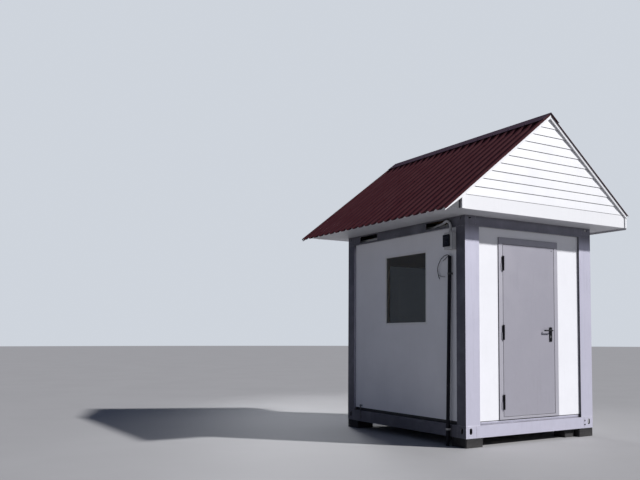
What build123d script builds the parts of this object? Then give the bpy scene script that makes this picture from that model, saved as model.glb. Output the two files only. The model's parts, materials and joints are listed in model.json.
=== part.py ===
# A security guard booth: a steel-framed box with white panels, a pitched sheet
# roof over lap-sided gables, one hinged door, three windows and a small switch
# box with its conduit on the left wall. Millimetres, +X to the right of the
# front, +Y to the back, +Z up. The pieces are drawn about the middle of the
# steel box and then moved, so that the origin is on the ground under the middle
# of the whole, as the roof reaches further out on the left than on the right.
from build123d import *
from math import atan2, cos, degrees, pi, radians, sin, tan
import os

os.makedirs("parts", exist_ok=True)

# Steel box, outside sizes, and the blocks it stands on
body_width = 2000.0
body_depth = 2400.0
body_height = 2415.0
pad_height = 100.0
pad_size = 240.0
pad_chamfer = 8.0
packer_width = 170.0
packer_gap = 13.0
packer_depth = 180.0

# Folded steel frame
steel = 4.0
base_rail_height = 132.0
top_rail_height = 112.0
rail_bottom_flange = 115.0
base_rail_cover = 50.0
rail_top_flange = 60.0
post_front_width = 200.0
post_side_width = 150.0
casting_size = 150.0
casting_wall = 10.0
casting_slot_width = 38.0
casting_slot_height = 68.0
casting_slot_level = 76.0
casting_slot_inset = 69.0
top_slot_width = 34.0
top_slot_height = 16.0
top_slot_drop = 28.0

# Openings through the side top rails
pocket_width = 400.0
pocket_height = 80.0
pocket_spacing = 1420.0
pocket_corner = 8.0

# Insulated wall, floor and ceiling panels
panel_setback = 25.0
panel_thickness = 60.0
drip_gap = 40.0
end_drip_recess = 10.0
side_drip_recess = 20.0
wall_ledge = 30.0
floor_finish = 20.0
ceiling_thickness = 60.0
ceiling_lap = 25.0

# Windows: left, right and rear share one size
window_size = 850.0
window_sill = 1240.0
side_window_offset = -65.0
window_bar = 20.0
window_proud = 3.0
glass_thickness = 6.0
glass_setback = 18.0
glass_bite = 8.0

# Door and its frame
door_frame_width = 940.0
door_frame_centre = -30.0
door_frame_height = 2035.0
jamb_width = 60.0
head_height = 72.0
threshold_height = 28.0
frame_proud = 10.0
frame_inside_lip = 5.0
stop_width = 15.0
leaf_thickness = 40.0
leaf_gap = 5.0

# Hinges
hinge_radius = 10.0
hinge_half = 78.0
hinge_play = 2.0
hinge_pin_radius = 6.0
hinge_pin_play = 0.2
hinge_pin_length = 62.0
hinge_wing = 30.0
hinge_wing_thickness = 4.0
hinge_standoff = 2.0
hinge_middle = 1141.0
hinge_spacing = 775.0

# Lever handle and its plates
handle_inset = 65.0
handle_height = 1165.0
lever_radius = 8.0
lever_reach = 46.0
lever_length = 118.0
lever_return = 24.0
spindle_radius = 4.5
spindle_play = 0.8
plate_width = 40.0
plate_height = 165.0
plate_thickness = 8.0
plate_drop = 45.0
keyhole_width = 10.0
keyhole_height = 33.0
keyhole_drop = 72.0

# Roof and gables
side_overhang = 300.0
end_overhang = 300.0
gable_edge_height = 150.0
ridge_rise = 1030.0
left_sheet_overhang = 230.0
right_sheet_overhang = 20.0
sheet_end_overhang = 30.0
sheet_thickness = 1.2
rib_pitch = 137.5
rib_height = 20.0
rib_crown = 40.0
rib_foot = 70.0
sheet_ridge_gap = 15.0
cap_wing = 160.0
soffit_thickness = 8.0
soffit_joint = 2.0
soffit_play = 0.5
end_plate_thickness = 3.0
fascia_thickness = 12.0
fascia_drop = 20.0
fascia_play = 0.5
siding_back = 8.0
siding_proud = 12.0
siding_course = 98.0
first_course = 153.0
siding_groove = 4.0
rake_trim_width = 30.0
rake_trim_depth = 18.0
rake_trim_tip = 14.0
corner_trim_width = 25.0
corner_trim_thickness = 12.0
truss_thickness = 45.0
truss_depth = 90.0
tie_depth = 60.0
truss_toe = 25.0
truss_count = 4

# Switch box, conduits and cable on the left wall
box_width = 120.0
box_depth = 96.0
box_height = 190.0
box_bottom = 2050.0
box_from_post = 5.0
box_corner = 8.0
box_edge = 4.0
cover_corner = 8.0
cover_edge = 3.0
cover_width = 104.0
cover_height = 134.0
cover_depth = 20.0
cover_skin = 2.5
cover_barrel_radius = 4.0
cover_clear = 5.0
cover_top_inset = 27.0
cover_pin_radius = 2.0
cover_pin_play = 0.3
cover_ear_width = 5.0
cover_ear_gap = 1.0
cover_ear_bite = 3.0
gland_radius = 21.0
gland_height = 16.0
flex_radius = 15.0
conduit_radius = 20.0
conduit_wall = 3.0
conduit_top = 1985.0
conduit_foot_clear = 7.0
conduit_foot_from_front = 278.0
conduit_top_clear = 9.0
conduit_top_from_front = 257.0
plug_depth = 45.0
plug_thickness = 12.0
clip_band = 3.0
clip_width = 20.0
clip_play = 0.4
clip_upper = 1790.0
clip_lower = 82.0
cable_radius = 4.0
cable_stub_radius = 3.0
cable_tail_radius = 2.5

# Earthing strap at the rear of the left base rail
strap_width = 25.0
strap_thickness = 4.0
strap_bottom = 30.0
strap_top = 215.0
strap_from_front = 2090.0
earth_bolt_radius = 9.0
earth_bolt_length = 26.0

# Levels above the ground
z_body = pad_height
z_rail_top = z_body + base_rail_height
z_wall = z_rail_top + drip_gap
z_floor = z_wall + floor_finish
z_body_top = z_body + body_height
z_wall_top = z_body_top - top_rail_height
z_soffit_top = z_body_top + soffit_thickness

# Plan sizes, measured from the middle
x_side = body_width / 2
y_end = body_depth / 2
x_panel = x_side - panel_setback
y_panel = y_end - panel_setback
x_room = x_panel - panel_thickness
y_room = y_panel - panel_thickness

# Door opening and leaf
x_frame_left = door_frame_centre - door_frame_width / 2
x_frame_right = door_frame_centre + door_frame_width / 2
z_frame_top = z_wall + door_frame_height
x_clear_left = x_frame_left + jamb_width
x_clear_right = x_frame_right - jamb_width
z_clear_bottom = z_wall + threshold_height
z_clear_top = z_frame_top - head_height
y_frame_front = -y_panel - frame_proud
y_leaf_back = y_frame_front + leaf_thickness
y_stop = y_leaf_back + leaf_gap
y_frame_back = -y_room + frame_inside_lip
x_leaf_left = x_clear_left + leaf_gap
x_leaf_right = x_clear_right - leaf_gap
z_leaf_bottom = z_clear_bottom + leaf_gap
z_leaf_top = z_clear_top - leaf_gap
x_hinge = x_leaf_left - leaf_gap / 2
y_hinge = y_frame_front - hinge_standoff - hinge_radius
x_handle = x_leaf_right - handle_inset
z_handle = z_body + handle_height

# Roof: the underside of the sheets runs from the ridge line down to the eaves
slope = atan2(ridge_rise, x_side + side_overhang)
x_gable = x_side + side_overhang
y_gable = y_end + end_overhang
z_gable_edge = z_body_top + gable_edge_height
z_ridge = z_gable_edge + ridge_rise
x_eave_left = x_gable + left_sheet_overhang
x_eave_right = x_gable + right_sheet_overhang
z_eave_left = z_gable_edge - left_sheet_overhang * tan(slope)
x_to_middle = (x_eave_left - x_eave_right) / 2
x_box_eave = x_gable + (gable_edge_height - soffit_thickness) / tan(slope) - soffit_play
roof_length = 2 * (y_gable + sheet_end_overhang)


def finish(builder, label):
    """Move a finished piece to its place over the origin, name it and write it to its own file."""
    piece = builder.part.moved(Location((x_to_middle, 0, 0)))
    piece.relocate(Location((0, 0, 0)))
    piece.label = label
    export_step(piece, f"parts/{label}.step")
    print(label, len(piece.solids()), round(piece.volume / 1000), "cm3")


def side_plane(side, z):
    """A section plane on one face: local x points inwards, local y up."""
    inward = {"front": (0, 1, 0), "rear": (0, -1, 0), "left": (1, 0, 0), "right": (-1, 0, 0)}[side]
    run = {"front": (1, 0, 0), "rear": (-1, 0, 0), "left": (0, -1, 0), "right": (0, 1, 0)}[side]
    reach = y_end if side in ("front", "rear") else x_side
    return Plane(origin=(-inward[0] * reach, -inward[1] * reach, z), x_dir=inward, z_dir=run)


def channel_outline(height, bottom_flange, top_flange):
    """Folded channel open to the inside: local x inwards, local y up."""
    return [
        (0, 0),
        (bottom_flange, 0),
        (bottom_flange, steel),
        (steel, steel),
        (steel, height - steel),
        (top_flange, height - steel),
        (top_flange, height),
        (0, height),
    ]


def rail_run(side):
    """Length of a rail between two corner castings."""
    span = body_width if side in ("front", "rear") else body_depth
    return span - 2 * casting_size


def make_pads():
    """Four timber blocks under the corners, and a packer beside the front right one."""
    with BuildPart() as pads:
        with GridLocations(body_width - pad_size, body_depth - pad_size, 2, 2):
            Box(pad_size, pad_size, pad_height, align=(Align.CENTER, Align.CENTER, Align.MIN))
        x_packer = x_side - pad_size - packer_gap - packer_width / 2
        with Locations((x_packer, -y_end + pad_size - packer_depth / 2, 0)):
            Box(packer_width, packer_depth, pad_height, align=(Align.CENTER, Align.CENTER, Align.MIN))
        chamfer(pads.edges().filter_by(Axis.Z), pad_chamfer)
    finish(pads, "support_blocks")


def make_base_rails():
    """Four bottom channels, open to the inside, that butt against the corner castings."""
    with BuildPart() as rails:
        for side in ("front", "rear", "left", "right"):
            with BuildSketch(side_plane(side, z_body)):
                with BuildLine():
                    Polyline(
                        *channel_outline(base_rail_height, rail_bottom_flange, base_rail_cover),
                        close=True,
                    )
                make_face()
            extrude(amount=rail_run(side) / 2, both=True)
    finish(rails, "base_rails")


def make_top_rails(label, sides):
    """A pair of top channels; those at the sides have two long openings each in the web."""
    with BuildPart() as rails:
        for side in sides:
            with BuildSketch(side_plane(side, z_wall_top)):
                with BuildLine():
                    Polyline(
                        *channel_outline(top_rail_height, rail_bottom_flange, rail_top_flange),
                        close=True,
                    )
                make_face()
            extrude(amount=rail_run(side) / 2, both=True)
        if "left" in sides:
            z_pocket = z_wall_top + steel + (top_rail_height - steel) / 2
            with BuildSketch(Plane.YZ):
                with Locations((0, z_pocket)):
                    with GridLocations(pocket_spacing, 0, 2, 1):
                        RectangleRounded(pocket_width, pocket_height, pocket_corner)
            extrude(amount=body_width, both=True, mode=Mode.SUBTRACT)
    finish(rails, label)


def make_castings(label, z, height, z_slot, slot_width, slot_height):
    """Four hollow corner blocks at one level, with a slot through each outer face."""
    with BuildPart() as castings:
        spread_x = body_width - casting_size
        spread_y = body_depth - casting_size
        with Locations((0, 0, z)):
            with GridLocations(spread_x, spread_y, 2, 2):
                Box(casting_size, casting_size, height, align=(Align.CENTER, Align.CENTER, Align.MIN))
        inner = casting_size - 2 * casting_wall
        with Locations((0, 0, z + casting_wall)):
            with GridLocations(spread_x, spread_y, 2, 2):
                Box(
                    inner,
                    inner,
                    height - 2 * casting_wall,
                    align=(Align.CENTER, Align.CENTER, Align.MIN),
                    mode=Mode.SUBTRACT,
                )
        for plane, span, reach in ((Plane.XZ, body_width, y_end), (Plane.YZ, body_depth, x_side)):
            for level in (-reach, reach - casting_wall):
                with BuildSketch(plane.offset(level)):
                    with Locations((0, z_slot)):
                        with GridLocations(span - 2 * casting_slot_inset, 0, 2, 1):
                            if slot_height > slot_width:
                                SlotOverall(slot_height, slot_width, rotation=90)
                            else:
                                SlotOverall(slot_width, slot_height)
                extrude(amount=casting_wall, mode=Mode.SUBTRACT)
    finish(castings, label)


def make_posts():
    """Corner posts folded from sheet, their two returns turned in against the panels."""
    outline = (
        (0, 0),
        (post_front_width, 0),
        (post_front_width, panel_setback),
        (post_front_width - steel, panel_setback),
        (post_front_width - steel, steel),
        (steel, steel),
        (steel, post_side_width - steel),
        (panel_setback, post_side_width - steel),
        (panel_setback, post_side_width),
        (0, post_side_width),
    )
    with BuildPart() as posts:
        for sign_x in (-1, 1):
            for sign_y in (-1, 1):
                with BuildSketch(Plane.XY.offset(z_rail_top)):
                    with BuildLine():
                        Polyline(
                            *[(sign_x * (x_side - x), sign_y * (y_end - y)) for x, y in outline],
                            close=True,
                        )
                    make_face()
                extrude(amount=z_wall_top - z_rail_top)
    finish(posts, "corner_posts")


def make_floor():
    """Floor slab in the base rails, a layer on them that carries the walls, and the finished floor."""
    with BuildPart() as floor:
        edge = panel_setback + wall_ledge
        notch = casting_size - edge
        with BuildSketch(Plane.XY.offset(z_body + steel)):
            Rectangle(body_width - 2 * edge, body_depth - 2 * edge)
            with GridLocations(body_width - 2 * edge, body_depth - 2 * edge, 2, 2):
                Rectangle(2 * notch, 2 * notch, mode=Mode.SUBTRACT)
        extrude(amount=base_rail_height - steel)
        side_edge = panel_setback + side_drip_recess
        end_edge = panel_setback + end_drip_recess
        with BuildSketch(Plane.XY.offset(z_rail_top)):
            Rectangle(body_width - 2 * side_edge, body_depth - 2 * end_edge)
        extrude(amount=drip_gap)
        with BuildSketch(Plane.XY.offset(z_wall)):
            Rectangle(2 * x_room, 2 * y_room)
            with Locations((door_frame_centre, -y_room)):
                Rectangle(door_frame_width, 2 * frame_inside_lip, mode=Mode.SUBTRACT)
        extrude(amount=floor_finish)
    finish(floor, "floor")


def make_ceiling():
    with BuildPart() as ceiling:
        edge = rail_bottom_flange - ceiling_lap
        notch = casting_size - edge
        with BuildSketch(Plane.XY.offset(z_wall_top + steel)):
            Rectangle(body_width - 2 * edge, body_depth - 2 * edge)
            with GridLocations(body_width - 2 * edge, body_depth - 2 * edge, 2, 2):
                Rectangle(2 * notch, 2 * notch, mode=Mode.SUBTRACT)
        extrude(amount=ceiling_thickness)
    finish(ceiling, "ceiling")


def make_side_wall(side):
    """Side panel the full depth of the booth, with one window opening."""
    sign = -1 if side == "left" else 1
    with BuildPart() as wall:
        with BuildSketch(Plane.YZ.offset(sign * x_room)):
            with Locations((0, (z_wall + z_wall_top) / 2)):
                Rectangle(2 * y_panel, z_wall_top - z_wall)
            with Locations((side_window_offset, z_body + window_sill + window_size / 2)):
                Rectangle(window_size, window_size, mode=Mode.SUBTRACT)
        extrude(amount=sign * panel_thickness)
    finish(wall, f"{side}_wall")


def make_rear_wall():
    with BuildPart() as wall:
        with BuildSketch(Plane.XZ.offset(-y_panel)):
            with Locations((0, (z_wall + z_wall_top) / 2)):
                Rectangle(2 * x_room, z_wall_top - z_wall)
            with Locations((0, z_body + window_sill + window_size / 2)):
                Rectangle(window_size, window_size, mode=Mode.SUBTRACT)
        extrude(amount=panel_thickness)
    finish(wall, "rear_wall")


def make_front_walls():
    """The front is three panels: one each side of the door frame and one over it."""
    spans = {
        "front_wall_left": (-x_room, x_frame_left, z_wall, z_wall_top),
        "front_wall_right": (x_frame_right, x_room, z_wall, z_wall_top),
        "front_wall_over_door": (x_frame_left, x_frame_right, z_frame_top, z_wall_top),
    }
    for label, (x0, x1, z0, z1) in spans.items():
        with BuildPart() as wall:
            with Locations((x0, -y_panel, z0)):
                Box(x1 - x0, panel_thickness, z1 - z0, align=(Align.MIN, Align.MIN, Align.MIN))
        finish(wall, label)


def window_places():
    """Planes with the local origin in the middle of each window, facing outwards."""
    z = z_body + window_sill + window_size / 2
    return (
        Plane(origin=(-x_panel, side_window_offset, z), x_dir=(0, -1, 0), z_dir=(-1, 0, 0)),
        Plane(origin=(x_panel, side_window_offset, z), x_dir=(0, 1, 0), z_dir=(1, 0, 0)),
        Plane(origin=(0, y_panel, z), x_dir=(-1, 0, 0), z_dir=(0, 1, 0)),
    )


def make_windows():
    """Slim frames that line the openings, each with a groove that holds its pane."""
    daylight = window_size - 2 * window_bar
    pane = daylight + 2 * glass_bite
    with BuildPart() as frames:
        for place in window_places():
            with BuildSketch(place.offset(window_proud)):
                Rectangle(window_size, window_size)
                Rectangle(daylight, daylight, mode=Mode.SUBTRACT)
            extrude(amount=-panel_thickness - 2 * window_proud)
            with BuildSketch(place.offset(-glass_setback)):
                Rectangle(pane, pane)
            extrude(amount=-glass_thickness, mode=Mode.SUBTRACT)
    finish(frames, "window_frames")
    with BuildPart() as panes:
        for place in window_places():
            with BuildSketch(place.offset(-glass_setback)):
                Rectangle(pane, pane)
            extrude(amount=-glass_thickness)
    finish(panes, "window_panes")


def make_door_frame():
    """Steel frame through the wall, with a stop behind the leaf at the sides and head."""
    with BuildPart() as frame:
        with Locations((x_frame_left, y_frame_front, z_wall)):
            Box(
                door_frame_width,
                y_frame_back - y_frame_front,
                door_frame_height,
                align=(Align.MIN, Align.MIN, Align.MIN),
            )
        clear_width = x_clear_right - x_clear_left
        with Locations((x_clear_left, y_frame_front, z_clear_bottom)):
            Box(
                clear_width,
                y_stop - y_frame_front,
                z_clear_top - z_clear_bottom,
                align=(Align.MIN, Align.MIN, Align.MIN),
                mode=Mode.SUBTRACT,
            )
        with Locations((x_clear_left + stop_width, y_stop, z_clear_bottom)):
            Box(
                clear_width - 2 * stop_width,
                y_frame_back - y_stop,
                z_clear_top - stop_width - z_clear_bottom,
                align=(Align.MIN, Align.MIN, Align.MIN),
                mode=Mode.SUBTRACT,
            )
        front = frame.faces().sort_by(Axis.Y)[0]
        fillet(front.outer_wire().edges(), 3)
    finish(frame, "door_frame")


def make_door_leaf():
    with BuildPart() as leaf:
        with Locations((x_leaf_left, y_frame_front, z_leaf_bottom)):
            Box(
                x_leaf_right - x_leaf_left,
                leaf_thickness,
                z_leaf_top - z_leaf_bottom,
                align=(Align.MIN, Align.MIN, Align.MIN),
            )
        fillet(leaf.edges().filter_by(Axis.Z), 3)
        with BuildSketch(Plane.XZ.offset(-y_frame_front)):
            with Locations((x_handle, z_handle)):
                Circle(spindle_radius + spindle_play)
        extrude(amount=-leaf_thickness, mode=Mode.SUBTRACT)
    finish(leaf, "door_leaf")


def hinge_levels():
    return [z_body + hinge_middle + step * hinge_spacing for step in (-1, 0, 1)]


def make_hinge_halves(label, z_from_gap, wing_sign):
    """Three barrels with the wings that fix them to the frame or to the leaf."""
    with BuildPart() as halves:
        for z in hinge_levels():
            with BuildSketch(Plane.XY.offset(z + z_from_gap)):
                with Locations((x_hinge, y_hinge)):
                    Circle(hinge_radius)
                x_wing = x_hinge + wing_sign * hinge_wing / 2
                with Locations((x_wing, y_frame_front - hinge_wing_thickness / 2)):
                    Rectangle(hinge_wing, hinge_wing_thickness)
            extrude(amount=hinge_half)
            if wing_sign < 0:
                with Locations((x_hinge, y_hinge, z - hinge_half / 2)):
                    Cylinder(
                        hinge_pin_radius,
                        hinge_half / 2 + hinge_pin_length,
                        align=(Align.CENTER, Align.CENTER, Align.MIN),
                    )
            else:
                with Locations((x_hinge, y_hinge, z + hinge_play / 2)):
                    Cylinder(
                        hinge_pin_radius + hinge_pin_play,
                        hinge_pin_length,
                        align=(Align.CENTER, Align.CENTER, Align.MIN),
                        mode=Mode.SUBTRACT,
                    )
    finish(halves, label)


def make_hinges():
    """Lift-off hinges: the pin stands up from the frame half into the leaf half."""
    make_hinge_halves("hinge_frame_halves", -hinge_play / 2 - hinge_half, -1)
    make_hinge_halves("hinge_leaf_halves", hinge_play / 2, 1)


def make_handle():
    """Lever inside and out on one spindle; the lever turns back towards the door."""
    bend = 2.2 * lever_radius
    with BuildPart() as handle:
        for y_face, out in ((y_frame_front, -1), (y_leaf_back, 1)):
            y_bar = y_face + out * lever_reach
            with BuildLine() as route:
                FilletPolyline(
                    (x_handle, y_face + out * (plate_thickness - 2), z_handle),
                    (x_handle, y_bar, z_handle),
                    (x_handle - lever_length, y_bar, z_handle),
                    (x_handle - lever_length, y_bar - out * lever_return, z_handle),
                    radius=bend,
                )
            with BuildSketch(Plane(route.line @ 0, z_dir=route.line % 0)):
                Circle(lever_radius)
            sweep(path=route.line)
        with BuildSketch(Plane.XZ.offset(-y_frame_front + plate_thickness - 1)):
            with Locations((x_handle, z_handle)):
                Circle(spindle_radius)
        extrude(amount=-leaf_thickness - 2 * plate_thickness + 2)
    finish(handle, "door_handle")


def make_handle_plates():
    """Long plates on both faces, open round the lever's neck, with a keyhole below it."""
    with BuildPart() as plates:
        for y_face, out in ((y_frame_front, -1), (y_leaf_back, 1)):
            with BuildSketch(Plane.XZ.offset(-y_face)):
                with Locations((x_handle, z_handle - plate_drop)):
                    RectangleRounded(plate_width, plate_height, 6)
                with Locations((x_handle, z_handle)):
                    Circle(lever_radius + 1, mode=Mode.SUBTRACT)
                with Locations((x_handle, z_handle - keyhole_drop)):
                    SlotOverall(keyhole_height, keyhole_width, rotation=90, mode=Mode.SUBTRACT)
            extrude(amount=-out * plate_thickness)
    finish(plates, "handle_plates")


def slope_plane(side, lift=0.0):
    """Plane across one roof slope at the ridge: z down the slope, y up out of it."""
    sign = 1 if side == "right" else -1
    out = (sign * sin(slope), 0, cos(slope))
    origin = (out[0] * lift, 0, z_ridge + out[2] * lift)
    return Plane(origin=origin, x_dir=(0, sign, 0), z_dir=(sign * cos(slope), 0, -sin(slope)))


def rib_line():
    """Ribs and pans of the sheet along the roof, with a whole rib at each end."""
    spaces = round((roof_length - rib_foot) / rib_pitch)
    pitch = (roof_length - rib_foot) / spaces
    rib = (
        (-rib_foot / 2, 0),
        (-rib_crown / 2, rib_height),
        (rib_crown / 2, rib_height),
        (rib_foot / 2, 0),
    )
    points = []
    for index in range(spaces + 1):
        middle = (index - spaces / 2) * pitch
        points.extend((middle + reach, level) for reach, level in rib)
    return points


def make_roof_sheet(side):
    """Ribbed steel sheet, its ribs running down the slope; only the left one passes the gables."""
    x_eave = x_eave_left if side == "left" else x_eave_right
    lower = rib_line()
    upper = [(along, level + sheet_thickness) for along, level in reversed(lower)]
    with BuildPart() as sheet:
        with BuildSketch(slope_plane(side).offset(sheet_ridge_gap)):
            with BuildLine():
                Polyline(*lower, *upper, close=True)
            make_face()
        extrude(amount=x_eave / cos(slope) - sheet_ridge_gap)
    finish(sheet, f"roof_sheet_{side}")


def make_ridge_cap():
    """Folded capping that lies on the rib crowns, open over the valleys at its edges."""
    lift = (rib_height + sheet_thickness) / cos(slope)
    reach = cap_wing * cos(slope)
    drop = cap_wing * sin(slope)
    skin = sheet_thickness / cos(slope)
    edge_x = reach + sheet_thickness * sin(slope)
    edge_z = lift - drop + sheet_thickness * cos(slope)
    half = [(0, lift), (reach, lift - drop), (edge_x, edge_z), (0, lift + skin)]
    other = [(-x, z) for x, z in reversed(half)]
    with BuildPart() as cap:
        with BuildSketch(Plane(origin=(0, 0, z_ridge), x_dir=(1, 0, 0), z_dir=(0, -1, 0))):
            with BuildLine():
                Polyline(*half, close=True)
            make_face()
            with BuildLine():
                Polyline(*other, close=True)
            make_face()
        extrude(amount=roof_length / 2, both=True)
    finish(cap, "ridge_cap")


def gable_outline():
    """Pentagon of a gable wall under the roof slopes, in x and z."""
    return [
        (-x_gable, z_body_top),
        (x_gable, z_body_top),
        (x_gable, z_gable_edge),
        (0, z_ridge),
        (-x_gable, z_gable_edge),
    ]


def make_gable(side):
    """Gable wall clad in lapped boards: each course stands out at its lower edge."""
    sign = -1 if side == "front" else 1
    y_back = y_gable - siding_back - siding_proud
    y_lap = y_gable - siding_proud * 2 / 3
    level = z_body_top + first_course
    points = [
        (y_back, z_body_top),
        (y_gable, z_body_top),
        (y_gable, level - siding_groove),
        (y_lap, level - siding_groove),
        (y_lap, level),
    ]
    while level < z_ridge:
        points.append((y_gable, level))
        level += siding_course
        points.append((y_lap, level))
    points.append((y_back, points[-1][1]))
    with BuildPart() as gable:
        with BuildSketch(Plane.YZ):
            with BuildLine():
                Polyline(*[(sign * y, z) for y, z in points], close=True)
            make_face()
        extrude(amount=x_gable, both=True)
        with BuildSketch(Plane.XZ):
            with BuildLine():
                Polyline(*gable_outline(), close=True)
            make_face()
        extrude(amount=y_gable + 1, both=True, mode=Mode.INTERSECT)
    finish(gable, f"gable_{side}")


def make_gable_trims():
    """White trims on both gables: up each corner and along the rakes, tapered past the left corner."""
    fall = rake_trim_width / cos(slope)
    with BuildPart() as trims:
        for y_face, out in ((-y_gable, 1), (y_gable, -1)):
            with BuildSketch(Plane.XZ.offset(-y_face)):
                with BuildLine():
                    Polyline(
                        (0, z_ridge),
                        (x_gable, z_gable_edge),
                        (x_gable, z_gable_edge - fall),
                        (0, z_ridge - fall),
                        (-x_gable, z_gable_edge - fall),
                        (-x_eave_left, z_eave_left - rake_trim_tip),
                        (-x_eave_left, z_eave_left),
                        close=True,
                    )
                make_face()
            extrude(amount=out * rake_trim_depth)
            with BuildSketch(Plane.XZ.offset(-y_face)):
                with Locations((0, (z_body_top + z_gable_edge) / 2)):
                    with GridLocations(2 * x_gable - corner_trim_width, 0, 2, 1):
                        Rectangle(corner_trim_width, gable_edge_height)
            extrude(amount=out * corner_trim_thickness)
    finish(trims, "gable_trims")


def make_soffits():
    """Flat boards that close the overhangs from below, from the top rails out to the eaves."""
    inner_x = x_side - rail_top_flange
    inner_y = y_end - rail_top_flange
    outer_y = y_gable - siding_back - siding_proud
    with BuildPart() as soffits:
        for sign in (-1, 1):
            with Locations((-x_box_eave, sign * (inner_y + outer_y) / 2, z_body_top)):
                Box(
                    x_box_eave + x_gable,
                    outer_y - inner_y,
                    soffit_thickness,
                    align=(Align.MIN, Align.CENTER, Align.MIN),
                )
        for x_inner, x_outer in ((-inner_x, -x_box_eave), (inner_x, x_gable)):
            with Locations(((x_inner + x_outer) / 2, 0, z_body_top)):
                Box(
                    abs(x_outer - x_inner),
                    2 * inner_y - 2 * soffit_joint,
                    soffit_thickness,
                    align=(Align.CENTER, Align.CENTER, Align.MIN),
                )
    finish(soffits, "soffits")


def make_eave_end_plates():
    """Triangular plates that close both ends of the left eave box beside the gables."""
    y_back = y_gable - siding_back - siding_proud
    with BuildPart() as plates:
        for y_face, out in ((-y_back, 1), (y_back, -1)):
            with BuildSketch(Plane.XZ.offset(-y_face)):
                with BuildLine():
                    Polyline(
                        (-x_gable, z_body_top),
                        (-x_gable - gable_edge_height / tan(slope), z_body_top),
                        (-x_gable, z_gable_edge),
                        close=True,
                    )
                make_face()
            extrude(amount=out * end_plate_thickness)
    finish(plates, "eave_end_plates")


def make_eave_fascia():
    """Folded board along the right eave, from under the sheet to just below the soffit."""
    top = z_ridge - (x_gable + fascia_thickness) * tan(slope) - fascia_play
    bottom = z_body_top - fascia_drop
    with BuildPart() as fascia:
        with Locations((x_gable, 0, bottom)):
            Box(
                fascia_thickness,
                2 * y_gable,
                top - bottom,
                align=(Align.MIN, Align.CENTER, Align.MIN),
            )
    finish(fascia, "eave_fascia")


def make_trusses():
    """Timber roof trusses on the soffit boards: two rafters and a tie in each."""
    x_left = x_box_eave - truss_toe
    x_right = x_gable - truss_toe
    z_left = z_ridge - x_left * tan(slope)
    z_right = z_ridge - x_right * tan(slope)
    fall = truss_depth / cos(slope)
    z_tie = z_soffit_top + tie_depth
    y_last = y_gable - siding_back - siding_proud - truss_thickness / 2
    x_hole = (z_ridge - fall - z_tie) / tan(slope)
    with BuildPart() as trusses:
        for index in range(truss_count):
            y = -y_last + index * 2 * y_last / (truss_count - 1)
            with BuildSketch(Plane.XZ.offset(-y)):
                with BuildLine():
                    Polyline(
                        (-x_left, z_soffit_top),
                        (x_right, z_soffit_top),
                        (x_right, z_right),
                        (0, z_ridge),
                        (-x_left, z_left),
                        close=True,
                    )
                make_face()
                with BuildLine():
                    Polyline((-x_hole, z_tie), (x_hole, z_tie), (0, z_ridge - fall), close=True)
                make_face(mode=Mode.SUBTRACT)
            extrude(amount=truss_thickness / 2, both=True)
    finish(trusses, "roof_trusses")


# Places of the things on the left wall
y_box_front = -y_end + post_side_width + box_from_post
y_box = y_box_front + box_width / 2
x_box_face = -x_panel - box_depth
x_gland = -x_panel - box_depth / 2
z_box_top = z_body + box_bottom + box_height
x_conduit_foot = -x_side - conduit_foot_clear - conduit_radius
y_conduit_foot = -y_end + conduit_foot_from_front
x_conduit_top = -x_panel - conduit_top_clear - conduit_radius
y_conduit_top = -y_end + conduit_top_from_front
z_conduit_top = z_body + conduit_top
x_cover_back = x_box_face - cover_clear
z_cover_top = z_box_top - cover_top_inset
x_cover_pin = x_cover_back - cover_barrel_radius
z_cover_pin = z_cover_top - cover_barrel_radius


def make_switch_box():
    """Plastic box beside the corner post, with a gland on top and a pin for its cover."""
    with BuildPart() as box:
        with Locations((-x_panel, y_box, z_body + box_bottom)):
            Box(box_depth, box_width, box_height, align=(Align.MAX, Align.CENTER, Align.MIN))
        fillet(box.edges().filter_by(Axis.X), box_corner)
        fillet(box.faces().sort_by(Axis.X)[0].edges(), box_edge)
        with Locations((x_gland, y_box, z_box_top)):
            Cylinder(gland_radius, gland_height, align=(Align.CENTER, Align.CENTER, Align.MIN))
        ear_from_middle = cover_width / 2 + cover_ear_gap
        for sign in (-1, 1):
            with BuildSketch(Plane.XZ.offset(-y_box - sign * ear_from_middle)):
                with Locations((x_cover_pin, z_cover_pin)):
                    Circle(cover_barrel_radius)
                    Rectangle(
                        x_box_face + cover_ear_bite - x_cover_pin,
                        2 * cover_barrel_radius,
                        align=(Align.MIN, Align.CENTER),
                    )
            extrude(amount=-sign * cover_ear_width)
        with BuildSketch(Plane.XZ.offset(-y_box)):
            with Locations((x_cover_pin, z_cover_pin)):
                Circle(cover_pin_radius)
        extrude(amount=ear_from_middle + cover_ear_width / 2, both=True)
    finish(box, "switch_box")


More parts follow.
